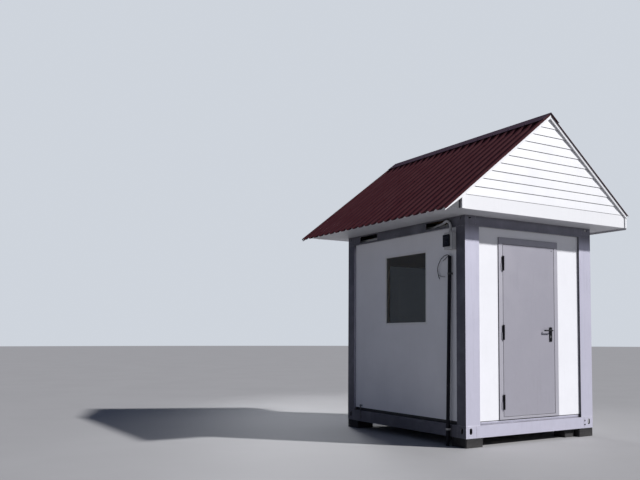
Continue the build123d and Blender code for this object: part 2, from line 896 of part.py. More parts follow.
def make_switch_box_cover():
    """Smoked clear hood over the switches, open at the back, its top bored for the pin."""
    x_front = x_cover_back - cover_depth
    z_inside_top = z_cover_top - 2 * cover_barrel_radius
    z_inside_bottom = z_cover_top - cover_height + cover_skin
    with BuildPart() as cover:
        with Locations((x_cover_back, y_box, z_cover_top)):
            Box(cover_depth, cover_width, cover_height, align=(Align.MAX, Align.CENTER, Align.MAX))
        top_edges = cover.faces().sort_by(Axis.Z)[-1].edges().filter_by(Axis.Y).sort_by(Axis.X)
        fillet(top_edges[0], cover_corner)
        back_edges = cover.faces().sort_by(Axis.X)[-1].edges().filter_by(Axis.Y).sort_by(Axis.Z)
        fillet(back_edges[-1], cover_barrel_radius)
        fillet(cover.faces().sort_by(Axis.X)[0].edges().filter_by(Axis.Z), cover_edge)
        with Locations((x_cover_back, y_box, z_inside_bottom)):
            Box(
                cover_depth - cover_skin,
                cover_width - 2 * cover_skin,
                z_inside_top - z_inside_bottom,
                align=(Align.MAX, Align.CENTER, Align.MIN),
                mode=Mode.SUBTRACT,
            )
        with BuildSketch(Plane.XZ.offset(-y_box)):
            with Locations((x_cover_pin, z_cover_pin)):
                Circle(cover_pin_radius + cover_pin_play)
        extrude(amount=cover_width / 2, both=True, mode=Mode.SUBTRACT)
    finish(cover, "switch_box_cover")


def tube_route(points):
    """Straight runs joined by arcs as large as the runs allow; prints the radii."""
    places = [Vector(*p) for p in points]
    radii = []
    for before, here, after in zip(places, places[1:], places[2:]):
        run_in = here - before
        run_out = after - here
        turn = radians(run_in.get_angle(run_out))
        radii.append(0.45 * min(run_in.length, run_out.length) / tan(turn / 2))
    print("radii", [round(r, 1) for r in radii])
    return FilletPolyline(*points, radius=radii)


def make_tube(label, points, radius):
    with BuildPart() as tube:
        with BuildLine() as route:
            tube_route(points)
        with BuildSketch(Plane(route.line @ 0, z_dir=route.line % 0)):
            Circle(radius)
        sweep(path=route.line)
    length = route.wires()[0].length
    section = pi * radius * radius
    print(label, "length", round(length), "volume ratio", round(tube.part.volume / (section * length), 4))
    finish(tube, label)


def make_flex_conduit():
    """Ribbed tube out of the front left rail opening and down into the switch box."""
    z_bend = z_wall_top + top_rail_height / 2 + 15
    x_ceiling = -x_side + rail_bottom_flange - ceiling_lap
    y_pocket = -pocket_spacing / 2
    z_gland = z_box_top + gland_height
    points = [
        (x_ceiling - 7.5, y_pocket + 116, z_bend - 27),
        (x_ceiling - 28, y_pocket + 105, z_bend - 27),
        (x_ceiling - 47, y_pocket + 55, z_bend - 22),
        (x_ceiling - 47, y_pocket - 70, z_bend - 6),
        (x_gland + 3, y_pocket - 175, z_bend),
        (x_gland, y_box + 50, z_bend),
        (x_gland, y_box, z_bend - 42),
        (x_gland, y_box, z_gland),
    ]
    make_tube("flex_conduit", points, flex_radius)


def conduit_middle(z):
    """Middle of the conduit at one level; it leans back against the wall from a foot set out."""
    share = z / z_conduit_top
    x = x_conduit_foot + share * (x_conduit_top - x_conduit_foot)
    y = y_conduit_foot + share * (y_conduit_top - y_conduit_foot)
    return (x, y)


def make_cable_conduit():
    """Conduit from the ground up the wall, open at the top over a plug."""
    lean = Vector(x_conduit_top - x_conduit_foot, y_conduit_top - y_conduit_foot, z_conduit_top)
    stretch = lean.length / z_conduit_top
    bore = conduit_radius - conduit_wall
    z_plug = z_conduit_top - plug_depth
    runs = (
        (0, z_conduit_top, conduit_radius, Mode.ADD),
        (0, z_plug - plug_thickness, bore, Mode.SUBTRACT),
        (z_plug, z_conduit_top, bore, Mode.SUBTRACT),
    )
    with BuildPart() as conduit:
        for z_low, z_high, radius, mode in runs:
            with BuildSketch(Plane.XY.offset(z_low)):
                with Locations(conduit_middle(z_low)):
                    Circle(radius)
            extrude(amount=(z_high - z_low) * stretch, dir=lean, mode=mode)
    finish(conduit, "cable_conduit")


def make_conduit_clips():
    """Two saddles round the conduit, each with a foot back to the face behind it."""
    with BuildPart() as clips:
        for z, x_face in ((z_body + clip_upper, -x_panel), (z_body + clip_lower, -x_side)):
            x, y = conduit_middle(z)
            foot_depth = x_face - x
            with BuildSketch(Plane.XY.offset(z - clip_width / 2)):
                with Locations((x + foot_depth / 2, y)):
                    Rectangle(foot_depth, 2 * conduit_radius)
                with Locations((x, y)):
                    Circle(conduit_radius + clip_play + clip_band)
                    Circle(conduit_radius + clip_play, mode=Mode.SUBTRACT)
                with Locations((x_face + conduit_radius, y)):
                    Rectangle(2 * conduit_radius, 4 * conduit_radius, mode=Mode.SUBTRACT)
            extrude(amount=clip_width)
    finish(clips, "conduit_clips")


def make_cables():
    """Loose cable in a loop down the wall, a tail that branches off it, and a short cut stub."""
    x0 = x_conduit_top
    y0 = y_conduit_top
    z0 = z_conduit_top
    loop = [
        (x0 - 6, y0 - 11, z0 - plug_depth),
        (x0 - 6, y0 - 11, z0 - 20),
        (x0 - 6, y0 + 0.5, z0 + 1.5),
        (x0 - 6, y0 + 21.6, z0 + 14.6),
        (x0 - 5, y0 + 47, z0 + 16),
        (x0 - 4, y0 + 92, z0 + 9),
        (x0 - 3, y0 + 142, z0 - 16),
        (x0 - 1, y0 + 186, z0 - 58),
        (x0 + 2, y0 + 214, z0 - 104),
        (x0 + 5, y0 + 222, z0 - 148),
        (x0 + 9, y0 + 214, z0 - 198),
        (x0 + 14, y0 + 200, z0 - 242),
    ]
    tail = [
        (x0 + 9, y0 + 207.55, z0 - 196.15),
        (x0 + 11, y0 + 180, z0 - 212),
        (x0 + 13, y0 + 142, z0 - 221),
        (x0 + 15, y0 + 99, z0 - 225),
    ]
    stub = [
        (x0 + 7, y0 - 10, z0 - plug_depth),
        (x0 + 7, y0 - 10, z0 - 14),
        (x0 + 7, y0 + 3, z0 + 5),
        (x0 + 7, y0 + 24, z0 + 9),
        (x0 + 7, y0 + 50, z0 - 3),
        (x0 + 6, y0 + 80, z0 - 22),
        (x0 + 5, y0 + 121, z0 - 44),
    ]
    make_tube("cable_loop", loop, cable_radius)
    make_tube("cable_tail", tail, cable_tail_radius)
    make_tube("cable_stub", stub, cable_stub_radius)


def make_earth_strap():
    """Flat strap on the base rail, standing up behind it to a bolt."""
    y = -y_end + strap_from_front
    with BuildPart() as strap:
        with Locations((-x_side, y, z_body + strap_bottom)):
            Box(
                strap_thickness,
                strap_width,
                strap_top - strap_bottom,
                align=(Align.MAX, Align.CENTER, Align.MIN),
            )
        with BuildSketch(Plane.YZ.offset(-x_side - strap_thickness)):
            with Locations((y, z_body + strap_top - strap_width / 2)):
                RegularPolygon(earth_bolt_radius, 6)
        extrude(amount=-earth_bolt_length / 2)
        with BuildSketch(Plane.YZ.offset(-x_side)):
            with Locations((y, z_body + strap_top - strap_width / 2)):
                Circle(earth_bolt_radius / 2)
        extrude(amount=panel_setback)
    finish(strap, "earth_strap")


make_pads()
make_base_rails()
make_top_rails("top_rails_ends", ("front", "rear"))
make_top_rails("top_rails_sides", ("left", "right"))
make_castings(
    "base_castings",
    z_body,
    base_rail_height,
    z_body + casting_slot_level,
    casting_slot_width,
    casting_slot_height,
)
make_castings(
    "top_castings",
    z_wall_top,
    top_rail_height,
    z_body_top - top_slot_drop,
    top_slot_width,
    top_slot_height,
)
make_posts()
make_floor()
make_ceiling()
make_front_walls()
make_side_wall("left")
make_side_wall("right")
make_rear_wall()
make_windows()
make_door_frame()
make_door_leaf()
make_hinges()
make_handle()
make_handle_plates()
make_roof_sheet("left")
make_roof_sheet("right")
make_ridge_cap()
make_gable("front")
make_gable("rear")
make_gable_trims()
make_soffits()
make_eave_end_plates()
make_eave_fascia()
make_trusses()
make_switch_box()
make_switch_box_cover()
make_flex_conduit()
make_cable_conduit()
make_conduit_clips()
make_cables()
make_earth_strap()
print("door hinge", x_hinge + x_to_middle, y_hinge, "handle", x_handle + x_to_middle, z_handle)
print("cover pin", x_cover_pin + x_to_middle, z_cover_pin, "pitch", round(degrees(slope), 1))
print("middle of the steel box", x_to_middle)
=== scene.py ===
# %% [markdown]
# # A guard booth, dressed around its measured model
# The booth is a steel-framed box of 2.0 by 2.4 m under a pitched roof. The measured model
# comes in first and stays where it is. This lesson gives it a camera, light, finishes and
# the small pieces that a maker would add last: seals, screws, welds, switches and cables.
# Everything is in metres: +X to the right of the front, +Y to the rear, +Z up. The roof
# reaches further out on the left, so the steel box stands a little to the right of zero.

# %% Load the measured model
import json
import bmesh
import bpy
from math import atan2, cos, pi, radians, sin
from mathutils import Matrix, Vector


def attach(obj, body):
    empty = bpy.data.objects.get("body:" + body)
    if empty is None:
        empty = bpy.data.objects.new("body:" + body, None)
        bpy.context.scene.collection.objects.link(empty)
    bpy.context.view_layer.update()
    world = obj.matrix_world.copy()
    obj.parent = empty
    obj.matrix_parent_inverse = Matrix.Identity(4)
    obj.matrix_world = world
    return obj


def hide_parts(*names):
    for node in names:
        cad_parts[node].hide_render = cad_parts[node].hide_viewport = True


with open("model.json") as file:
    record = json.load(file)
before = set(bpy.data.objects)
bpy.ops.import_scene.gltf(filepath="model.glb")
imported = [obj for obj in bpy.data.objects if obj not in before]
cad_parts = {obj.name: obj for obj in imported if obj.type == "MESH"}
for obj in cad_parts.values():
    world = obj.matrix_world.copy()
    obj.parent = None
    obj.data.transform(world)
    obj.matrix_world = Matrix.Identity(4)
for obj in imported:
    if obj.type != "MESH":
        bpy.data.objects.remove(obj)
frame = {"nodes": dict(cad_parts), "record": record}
nodes = frame["nodes"]
scene = bpy.context.scene
mid = 0.105
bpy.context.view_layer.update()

# %% [markdown]
# ## The camera
# The booth was photographed from just under 10 m away, with the camera at waist height.
# A camera can be placed by eye, or solved from edges of known size. This one was solved, so
# it is written as a place and three directions, and the lens follows from a focal length in
# pixels. The picture's true centre lies beside the middle of the frame, and the shift holds it.

# %% Camera at the photographer's place
picture_width = 640
picture_height = 480
focal_pixels = 755.6
centre_pixel = (370.9, 292.9)
camera_place = Vector((mid - 6.315, -7.433, 1.184))
look = Vector((0.54838, 0.83417, 0.05859)).normalized()
right = Vector((0.83555, -0.54941, 0.00169)).normalized()
up = right.cross(look).normalized()


def add_object(name, data):
    """An object for some data, put into the scene."""
    piece = bpy.data.objects.new(name, data)
    scene.collection.objects.link(piece)
    return piece


camera_data = bpy.data.cameras.new("photo_camera")
camera = add_object("photo_camera", camera_data)
scene.camera = camera
camera_data.sensor_width = 36.0
camera_data.lens = focal_pixels * camera_data.sensor_width / picture_width
camera_data.shift_x = (picture_width / 2 - centre_pixel[0]) / picture_width
camera_data.shift_y = (centre_pixel[1] - picture_height / 2) / picture_width
turn = Matrix((right, up, -look)).transposed()
camera.matrix_world = Matrix.Translation(camera_place) @ turn.to_4x4()
camera_data.clip_end = 200.0
print("lens", round(camera_data.lens, 2), "mm, distance", round(camera_place.length, 2), "m")

# %% [markdown]
# ## Meshes from points
# Every small piece below is a list of points and faces. One helper turns such lists into a
# mesh, makes all its faces look outwards and, where it is round, shades it smoothly but
# keeps its real edges sharp.

# %% A mesh object from points and faces
def build_mesh(name, points, faces, smooth=False):
    """A mesh object from corner points and faces, its origin at the world's."""
    data = bpy.data.meshes.new(name)
    data.from_pydata([tuple(p) for p in points], [], [tuple(f) for f in faces])
    data.validate()
    turned_mesh = bmesh.new()
    turned_mesh.from_mesh(data)
    bmesh.ops.recalc_face_normals(turned_mesh, faces=turned_mesh.faces[:])
    turned_mesh.to_mesh(data)
    turned_mesh.free()
    piece = add_object(name, data)
    if smooth:
        data.shade_smooth()
        data.set_sharp_from_angle(angle=radians(38))
    return piece


# %% [markdown]
# ## The studio
# A booth stands outdoors, but a plain pale floor and soft lamps show its shape and finishes
# best. The main light comes from high up at the front right, as the daylight did, so the
# gable throws its shadow over the head of the door and the left wall lies in the shade. It
# is a sun lamp made wide, which lights near and far alike and still has soft shadows. Weak
# wide lamps and a dim sky fill the shade. The backdrop stays pale for the camera alone.

# %% Floor, lamps and sky
scene.view_settings.view_transform = "Standard"
floor_reach = 95.0
floor_corners = 96
angles = [2 * pi * k / floor_corners for k in range(floor_corners)]
floor_edge = [(floor_reach * cos(angle), floor_reach * sin(angle), 0.0) for angle in angles]
studio_floor = build_mesh("studio_floor", floor_edge, [tuple(range(floor_corners))])


def aimed(way):
    """The turn that points a lamp along a direction."""
    return way.to_track_quat("-Z", "Y").to_euler()


def add_lamp(name, place, target, size, power, colour):
    """A square soft lamp at a place, aimed at a target."""
    data = bpy.data.lights.new(name, "AREA")
    data.shape = "SQUARE"
    data.size = size
    data.energy = power
    data.color = colour
    lamp = add_object(name, data)
    lamp.location = place
    lamp.rotation_euler = aimed(Vector(target) - Vector(place))
    return lamp


main_data = bpy.data.lights.new("main_light", "SUN")
main_data.energy = 4.55
main_data.angle = radians(2.5)
main_data.color = (0.99, 0.985, 1.0)
main_light = add_object("main_light", main_data)
main_light.rotation_euler = aimed(Vector((-7.7, 9.5, -8.8)))
add_lamp("fill_lamp", (-11.0, -3.0, 5.0), (0, 0, 1.5), 7.0, 16, (0.62, 0.76, 1.0))
rear_lamp = add_lamp("rear_lamp", (2.6, 10.5, 4.2), (mid, 1.2, 2.1), 2.4, 62, (0.94, 0.96, 1.0))
rear_lamp.data.spread = radians(60)

world = bpy.data.worlds.new("pale_sky")
world.use_nodes = True
scene.world = world
sky_tree = world.node_tree
sky = sky_tree.nodes["Background"]
sky.inputs["Color"].default_value = (0.50, 0.62, 1.0, 1.0)
sky.inputs["Strength"].default_value = 0.115
backdrop = sky_tree.nodes.new("ShaderNodeBackground")
backdrop.inputs["Color"].default_value = (0.62, 0.66, 0.72, 1.0)
either = sky_tree.nodes.new("ShaderNodeMixShader")
seen = sky_tree.nodes.new("ShaderNodeLightPath").outputs["Is Camera Ray"]
sky_tree.links.new(seen, either.inputs[0])
sky_tree.links.new(sky.outputs[0], either.inputs[1])
sky_tree.links.new(backdrop.outputs[0], either.inputs[2])
sky_tree.links.new(either.outputs[0], sky_tree.nodes["World Output"].inputs["Surface"])

# %% [markdown]
# ## Tools for finishes
# A finish is a tree of shader nodes. What one node puts out is held here as a wire, and plain
# arithmetic on wires adds the nodes that work it out. Effects that many finishes share, such
# as dust or the skin of a coat of paint, are made once as groups with named inputs, and each
# finish sets its own sizes. All sizes are real ones in metres, in the object's own space.

# %% Wires between shader nodes
def join(value, target):
    """Link a wire to a socket, or set a plain value on it; a colour is made opaque."""
    if isinstance(value, Wire):
        target.id_data.links.new(value.socket, target)
    elif target.type == "RGBA":
        target.default_value = (*value, 1.0)
    else:
        target.default_value = value


def set_inputs(node, values):
    """Join values to a node's inputs by name; underscores in the names stand for spaces."""
    for label, value in values.items():
        join(value, node.inputs[label.replace("_", " ")])


def calc(tree, operation, *values):
    """One step of arithmetic in a shader tree."""
    node = tree.nodes.new("ShaderNodeMath")
    node.operation = operation
    for value, target in zip(values, node.inputs):
        join(value, target)
    return Wire(node.outputs[0])


class Wire:
    """What one node puts out; arithmetic on it adds the nodes that work it out."""

    def __init__(self, socket):
        self.socket = socket
        self.tree = socket.id_data

    def __add__(self, other):
        return calc(self.tree, "ADD", self, other)

    def __sub__(self, other):
        return calc(self.tree, "SUBTRACT", self, other)

    def __rsub__(self, other):
        return calc(self.tree, "SUBTRACT", other, self)

    def __mul__(self, other):
        return calc(self.tree, "MULTIPLY", self, other)

    def __truediv__(self, other):
        return calc(self.tree, "DIVIDE", self, other)

    def __rtruediv__(self, other):
        return calc(self.tree, "DIVIDE", other, self)

    def __pow__(self, other):
        return calc(self.tree, "POWER", self, other)

    def __abs__(self):
        return calc(self.tree, "ABSOLUTE", self)

    def clamped(self):
        """The same, kept between zero and one."""
        self.socket.node.use_clamp = True
        return self

    def spread(self, low, high, new_low=0.0, new_high=1.0):
        """Stretch a range of values smoothly to another one."""
        node = self.tree.nodes.new("ShaderNodeMapRange")
        node.interpolation_type = "SMOOTHSTEP"
        for value, target in zip((self, low, high, new_low, new_high), node.inputs):
            join(value, target)
        return Wire(node.outputs["Result"])

    def below(self, level, blur):
        """A mask for what lies below a level, with a narrow soft edge."""
        return self.spread(level + blur, level - blur)

    def blend(self, first, second):
        """Mix two colours, with this wire as the mask of the second one."""
        node = self.tree.nodes.new("ShaderNodeMix")
        node.data_type = "RGBA"
        for value, place in ((self, 0), (first, 6), (second, 7)):
            join(value, node.inputs[place])
        return Wire(node.outputs[2])


# %% Places, directions and noise
def source(tree, kind, output):
    """A wire from a new node that needs nothing put in."""
    return Wire(tree.nodes.new(kind).outputs[output])


def part_of(wire, axis):
    """One coordinate of a place or a direction."""
    parts = wire.tree.nodes.new("ShaderNodeSeparateXYZ")
    join(wire, parts.inputs[0])
    return Wire(parts.outputs[axis])


def place_on(tree, axis):
    """One coordinate of the place on the object."""
    return part_of(source(tree, "ShaderNodeTexCoord", "Object"), axis)


def facing(tree, axis):
    """One part of the direction that the surface faces."""
    return part_of(source(tree, "ShaderNodeNewGeometry", "Normal"), axis)


def noise(tree, scale, detail, roughness, stretch=(1, 1, 1)):
    """Noise in the object's own space; stretch makes it long in one direction."""
    mapping = tree.nodes.new("ShaderNodeMapping")
    set_inputs(mapping, {"Vector": source(tree, "ShaderNodeTexCoord", "Object"), "Scale": stretch})
    node = tree.nodes.new("ShaderNodeTexNoise")
    place = Wire(mapping.outputs["Vector"])
    set_inputs(node, {"Vector": place, "Scale": scale, "Detail": detail, "Roughness": roughness})
    return Wire(node.outputs["Fac"])


# %% Groups and materials
def add_socket(tree, label, side):
    """A group's socket, of the kind that the last word of its name tells; a plain value otherwise."""
    kinds = {"Colour": "NodeSocketColor", "Stretch": "NodeSocketVector"}
    kind = kinds.get(label.split("_")[-1], "NodeSocketFloat")
    return tree.interface.new_socket(label.replace("_", " "), in_out=side, socket_type=kind)


def start_group(name, **inputs):
    """A new shader group; gives its tree and the wires of its inputs."""
    tree = bpy.data.node_groups.new(name, "ShaderNodeTree")
    for label, start in inputs.items():
        socket = add_socket(tree, label, "INPUT")
        socket.default_value = (*start, 1.0) if "Colour" in label else start
    given = tree.nodes.new("NodeGroupInput").outputs
    return tree, {label: Wire(given[label.replace("_", " ")]) for label in inputs}


def end_group(tree, **results):
    """Put named results out of a group, and give the whole group."""
    for label in results:
        add_socket(tree, label, "OUTPUT")
    set_inputs(tree.nodes.new("NodeGroupOutput"), results)
    return tree


def place_group(tree, group, **values):
    """Put a group into a material; gives the wires of its outputs."""
    node = tree.nodes.new("ShaderNodeGroup")
    node.node_tree = group
    set_inputs(node, values)
    return {socket.name: Wire(socket) for socket in node.outputs}


def start_material(name, **settings):
    """A material and its tree; settings go straight onto the main shader's sockets."""
    material = bpy.data.materials.new(name)
    material.use_nodes = True
    set_inputs(material.node_tree.nodes["Principled BSDF"], settings)
    return material, material.node_tree


def end_material(material, height, **results):
    """Join the results to the main shader, and a height in metres to its bump."""
    tree = material.node_tree
    shader = tree.nodes["Principled BSDF"]
    set_inputs(shader, results)
    if height is not None:
        bump = tree.nodes.new("ShaderNodeBump")
        set_inputs(bump, {"Distance": 1.0, "Height": height})
        join(Wire(bump.outputs["Normal"]), shader.inputs["Normal"])
    return material


print("tools for finishes ready")

# %% [markdown]
# ## Shared effects
# Paint is never one even colour: it fades in soft clouds, takes dust from the road low
# down and on top, and rain draws faint runs down it. Sheet metal is never quite flat, and
# sprayed paint has a skin like an orange. Bare edges shine where hands and tools rubbed.

# %% Clouded colour, road dust and rain runs
tree, given = start_group(
    "cloudy tone", Colour=(0.5, 0.5, 0.5), Second_Colour=(0.4, 0.4, 0.4), Patch_Size=0.3, Amount=0.5
)
patches = noise(tree, 1.0 / given["Patch_Size"], 5.0, 0.6)
mask = patches.spread(0.36, 0.64) * given["Amount"]
cloudy_tone = end_group(tree, Colour=mask.blend(given["Colour"], given["Second_Colour"]), Mask=mask)

tree, given = start_group(
    "road dust", Colour=(0.5, 0.5, 0.5), Dust_Colour=(0.33, 0.31, 0.29), Reach=0.5, Amount=0.5, Top_Amount=0.3
)
low_down = (1.0 - place_on(tree, "Z") / given["Reach"]).clamped() ** 1.7
on_top = facing(tree, "Z").spread(0.35, 0.9) * given["Top_Amount"]
speckle = noise(tree, 45.0, 6.0, 0.7).spread(0.3, 0.7, 0.45, 1.0)
drifts = noise(tree, 5.0, 3.0, 0.5).spread(0.3, 0.7, 0.35, 1.0)
settled = calc(tree, "MAXIMUM", low_down * given["Amount"], on_top)
mask = (settled * speckle * drifts).clamped()
road_dust = end_group(tree, Colour=mask.blend(given["Colour"], given["Dust_Colour"]), Mask=mask)

tree, given = start_group(
    "rain runs", Colour=(0.5, 0.5, 0.5), Run_Colour=(0.3, 0.3, 0.3), Spacing=0.03, Amount=0.3
)
runs = noise(tree, 1.0 / given["Spacing"], 3.0, 0.6, (1, 1, 0.05)).spread(0.5, 0.72)
gaps = noise(tree, 1.6, 2.0, 0.5, (1, 1, 0.6)).spread(0.35, 0.65)
mask = runs * gaps * given["Amount"]
rain_runs = end_group(tree, Colour=mask.blend(given["Colour"], given["Run_Colour"]), Mask=mask)
print("groups", [group.name for group in bpy.data.node_groups])

# %% [markdown]
# Sheet metal skin is two heights added together: broad waves from rolling and folding, far
# longer than they are high, and the fine peel of the coat. Worn edges come from a bevel
# lookup: where a softened surface direction leaves the true one, there is an edge nearby.
# Painted shade in corners is the other way round: colour is darkened where little open space
# is left around a point. The left side and the rails under the eaves are painted darker, as painted shade.

# %% Skin of a coated sheet, worn edges and painted shade in corners
tree, given = start_group(
    "coated skin", Wave_Size=0.5, Wave_Height=0.001, Peel_Size=0.004, Peel_Height=0.00003
)
waves = noise(tree, 1.0 / given["Wave_Size"], 1.0, 0.4)
peel = noise(tree, 1.0 / given["Peel_Size"], 2.0, 0.5)
coated_skin = end_group(tree, Height=peel * given["Peel_Height"] + waves * given["Wave_Height"])

tree, given = start_group("worn edges", Edge_Width=0.006, Break_Size=0.03, Amount=0.5)
soft_edge = tree.nodes.new("ShaderNodeBevel")
soft_edge.samples = 6
join(given["Edge_Width"], soft_edge.inputs["Radius"])
compare = tree.nodes.new("ShaderNodeVectorMath")
compare.operation = "DOT_PRODUCT"
join(Wire(soft_edge.outputs["Normal"]), compare.inputs[0])
join(source(tree, "ShaderNodeNewGeometry", "Normal"), compare.inputs[1])
near_edge = Wire(compare.outputs["Value"]).spread(0.995, 0.9)
breaks = noise(tree, 1.0 / given["Break_Size"], 5.0, 0.65).spread(0.42, 0.6)
worn_edges = end_group(tree, Mask=(near_edge * breaks * given["Amount"]).clamped())

# Painted shade: a mask that is strong where an occlusion lookup finds little open space.
tree, given = start_group("painted corner shade", Reach=0.05, Break_Size=0.05, Amount=0.5)
hollow = tree.nodes.new("ShaderNodeAmbientOcclusion")
hollow.samples = 6
join(given["Reach"], hollow.inputs["Distance"])
shut_in = Wire(hollow.outputs["AO"]).spread(0.92, 0.45)
breaks = noise(tree, 1.0 / given["Break_Size"], 4.0, 0.6).spread(0.2, 0.7, 0.78, 1.0)
painted_corner_shade = end_group(tree, Mask=(shut_in * breaks * given["Amount"]).clamped())

# %% Painted shade on the left side and under the eaves, and sawn timber
# Painted shade: a mask for left-facing faces and for a band under the eaves.
tree, given = start_group("painted side shade", Patch_Size=0.25, Under_Eaves=0.5, Amount=0.5)
leftward = (facing(tree, "X") * -1.0).spread(0.3, 0.95)
eaves_band = place_on(tree, "Z").spread(2.27, 2.42) * given["Under_Eaves"]
shade_amount = calc(tree, "MAXIMUM", leftward * given["Amount"], eaves_band)
patches = noise(tree, 1.0 / given["Patch_Size"], 4.0, 0.6).spread(0.2, 0.6, 0.85, 1.0)
painted_side_shade = end_group(tree, Mask=shade_amount * patches)

tree, given = start_group(
    "sawn timber", Colour=(0.5, 0.4, 0.3), Grain_Colour=(0.3, 0.2, 0.12),
    Grain_Stretch=(1, 20, 20), Grain_Height=0.0006,
)
grain = noise(tree, 7.0, 6.0, 0.65, given["Grain_Stretch"])
fibres = noise(tree, 40.0, 3.0, 0.6, given["Grain_Stretch"])
grained = grain.spread(0.38, 0.6).blend(given["Colour"], given["Grain_Colour"])
sawn_timber = end_group(tree, Colour=grained, Height=(grain + fibres) * given["Grain_Height"])
print("groups", len(bpy.data.node_groups))

# %% [markdown]
# ## Grey frame and door
# The frame is folded steel with a lilac-grey spray coat that has dulled outdoors. The door
# and its frame are a flatter grey. The coat has fine metal flake in it: it is bright where
# it mirrors the main light and much darker in the shade, so the shader is partly metallic.
# One function makes all three: a recipe with a few choices.

# %% Painted steel
def small_dark_mark(tree, x, z, half_length, half_height):
    """A short dark mark at one place on an upright face, longer than it is high."""
    across = (place_on(tree, "X") - x) / half_length
    upward = (place_on(tree, "Z") - z) / half_height
    return (across * across + upward * upward).spread(1.2, 0.5) * 0.85


def painted_hollow_shade(tree):
    """Painted shade: near-black on the inside of the base rails and castings, 4 mm behind their faces."""
    blur = 0.0005
    behind_side = abs(place_on(tree, "X") - mid).below(0.996, blur)
    behind_end = abs(place_on(tree, "Y")).below(1.196, blur)
    return behind_side * behind_end * place_on(tree, "Z").below(0.230, blur)


def painted_steel(name, colour, faded, flake, wave_size, wave_height, dust, worn, dark_mark_at=None):
    """Sprayed flake paint on folded steel: fading, runs, painted shade, dust and worn edges."""
    material, tree = start_material(name, Roughness=0.42, Metallic=flake)
    tone = place_group(tree, cloudy_tone, Colour=colour, Second_Colour=faded, Patch_Size=0.35, Amount=0.7)
    runs = place_group(
        tree, rain_runs, Colour=tone["Colour"], Run_Colour=(0.14, 0.135, 0.14), Spacing=0.022, Amount=0.10
    )
    left_and_eaves_shade = place_group(tree, painted_side_shade, Patch_Size=0.25, Under_Eaves=0.74, Amount=0.88)
    shade_in_corners = place_group(tree, painted_corner_shade, Reach=0.06, Break_Size=0.05, Amount=0.6)
    edge = place_group(tree, worn_edges, Edge_Width=0.005, Break_Size=0.02, Amount=worn)
    # Painted shade: left-facing faces and the rails under the eaves are blended towards dark blue-grey.
    coat = left_and_eaves_shade["Mask"].blend(runs["Colour"], (0.045, 0.047, 0.062))
    # Painted shade in corners, blended towards dark grey.
    coat = shade_in_corners["Mask"].blend(coat, (0.05, 0.05, 0.058))
    # Painted shade: the hollow insides of the rails and castings are made near-black.
    coat = painted_hollow_shade(tree).blend(coat, (0.004, 0.004, 0.005))
    coat = edge["Mask"].blend(coat, (0.60, 0.585, 0.59))
    dusty = place_group(tree, road_dust, Colour=coat, Reach=0.35, Amount=dust, Top_Amount=0.5)
    coat = dusty["Colour"]
    # A small dark mark at one place on the face.
    if dark_mark_at:
        coat = small_dark_mark(tree, *dark_mark_at).blend(coat, (0.06, 0.06, 0.065))
    dull = dusty["Mask"] * 0.4 + tone["Mask"].spread(0.0, 1.0, 0.40, 0.50)
    skin = place_group(
        tree, coated_skin, Wave_Size=wave_size, Wave_Height=wave_height, Peel_Size=0.003, Peel_Height=0.00004
    )
    return end_material(material, skin["Height"], Base_Color=coat, Roughness=dull)


frame_paint = painted_steel(
    "frame_paint", (0.575, 0.565, 0.665), (0.51, 0.50, 0.59), 0.42, 0.30, 0.0006, 0.2, 0.5
)
door_paint = painted_steel(
    "door_paint", (0.365, 0.355, 0.40), (0.33, 0.32, 0.36), 0.35, 0.55, 0.0010, 0.18, 0.2,
    dark_mark_at=(mid + 0.339, 2.199, 0.017, 0.004),
)
door_frame_paint = painted_steel(
    "door_frame_paint", (0.43, 0.42, 0.465), (0.39, 0.38, 0.42), 0.35, 0.30, 0.0003, 0.18, 0.4
)
print("painted steel", frame_paint.name, door_paint.name, door_frame_paint.name)

# %% [markdown]
# ## White panels and boards
# The walls are thin coated steel over foam: almost flat, but daylight shows long shallow
# waves in them. The gables are moulded lap boards with a faint grain along them. White
# looks white only if it is a little off white, with grey dust low down. A dark line under
# each lap is painted shadow with some dirt, and corners get painted shade.

# %% White wall panels, lap boards and trims
first_lap = 2.668
course = 0.098


def darker(colour, share):
    """A colour made darker by a share."""
    return tuple(share * part for part in colour)


def lap_shadow_and_dirt(tree):
    """A painted shadow line, with some dirt, just under each lap of the boards."""
    height = place_on(tree, "Z")
    step = calc(tree, "FRACT", (height - first_lap) / course + 10.0)
    return step.spread(0.925, 0.955) * height.spread(first_lap - 0.012, first_lap - 0.010)


def white_coat(name, colour, wave_size, wave_height, dust=0.0, grain=0.0, laps=0.0):
    """White coating with painted shade in corners; grain adds the fine lines of moulded boards, laps a
    painted shadow line with some dirt under each lap.
    """
    material, tree = start_material(name, Roughness=0.35)
    tone = place_group(
        tree, cloudy_tone, Colour=colour, Second_Colour=darker(colour, 0.93), Patch_Size=0.5, Amount=0.6
    )
    runs = place_group(
        tree, rain_runs, Colour=tone["Colour"], Run_Colour=(0.46, 0.44, 0.42), Spacing=0.018, Amount=0.08
    )
    shade_in_corners = place_group(tree, painted_corner_shade, Reach=0.015, Break_Size=0.03, Amount=0.35)
    # Painted shade in corners, blended towards dark grey.
    coat_with_shade = shade_in_corners["Mask"].blend(runs["Colour"], (0.22, 0.21, 0.21))
    if laps:
        # Painted shadow, with some dirt, as a dark line under each lap.
        coat_with_shade = (lap_shadow_and_dirt(tree) * laps).blend(coat_with_shade, (0.16, 0.16, 0.17))
    dusty = place_group(
        tree, road_dust, Colour=coat_with_shade, Dust_Colour=(0.48, 0.46, 0.43), Reach=0.7, Amount=dust, Top_Amount=0.3
    )
    dull = dusty["Mask"] * 0.4 + tone["Mask"].spread(0.0, 0.4, 0.30, 0.42)
    skin = place_group(
        tree, coated_skin, Wave_Size=wave_size, Wave_Height=wave_height, Peel_Size=0.004, Peel_Height=0.00003
    )
    height = skin["Height"]
    if grain:
        height = noise(tree, 90.0, 4.0, 0.6, (0.06, 0.06, 1)) * grain + height
    return end_material(material, height, Base_Color=dusty["Colour"], Roughness=dull)


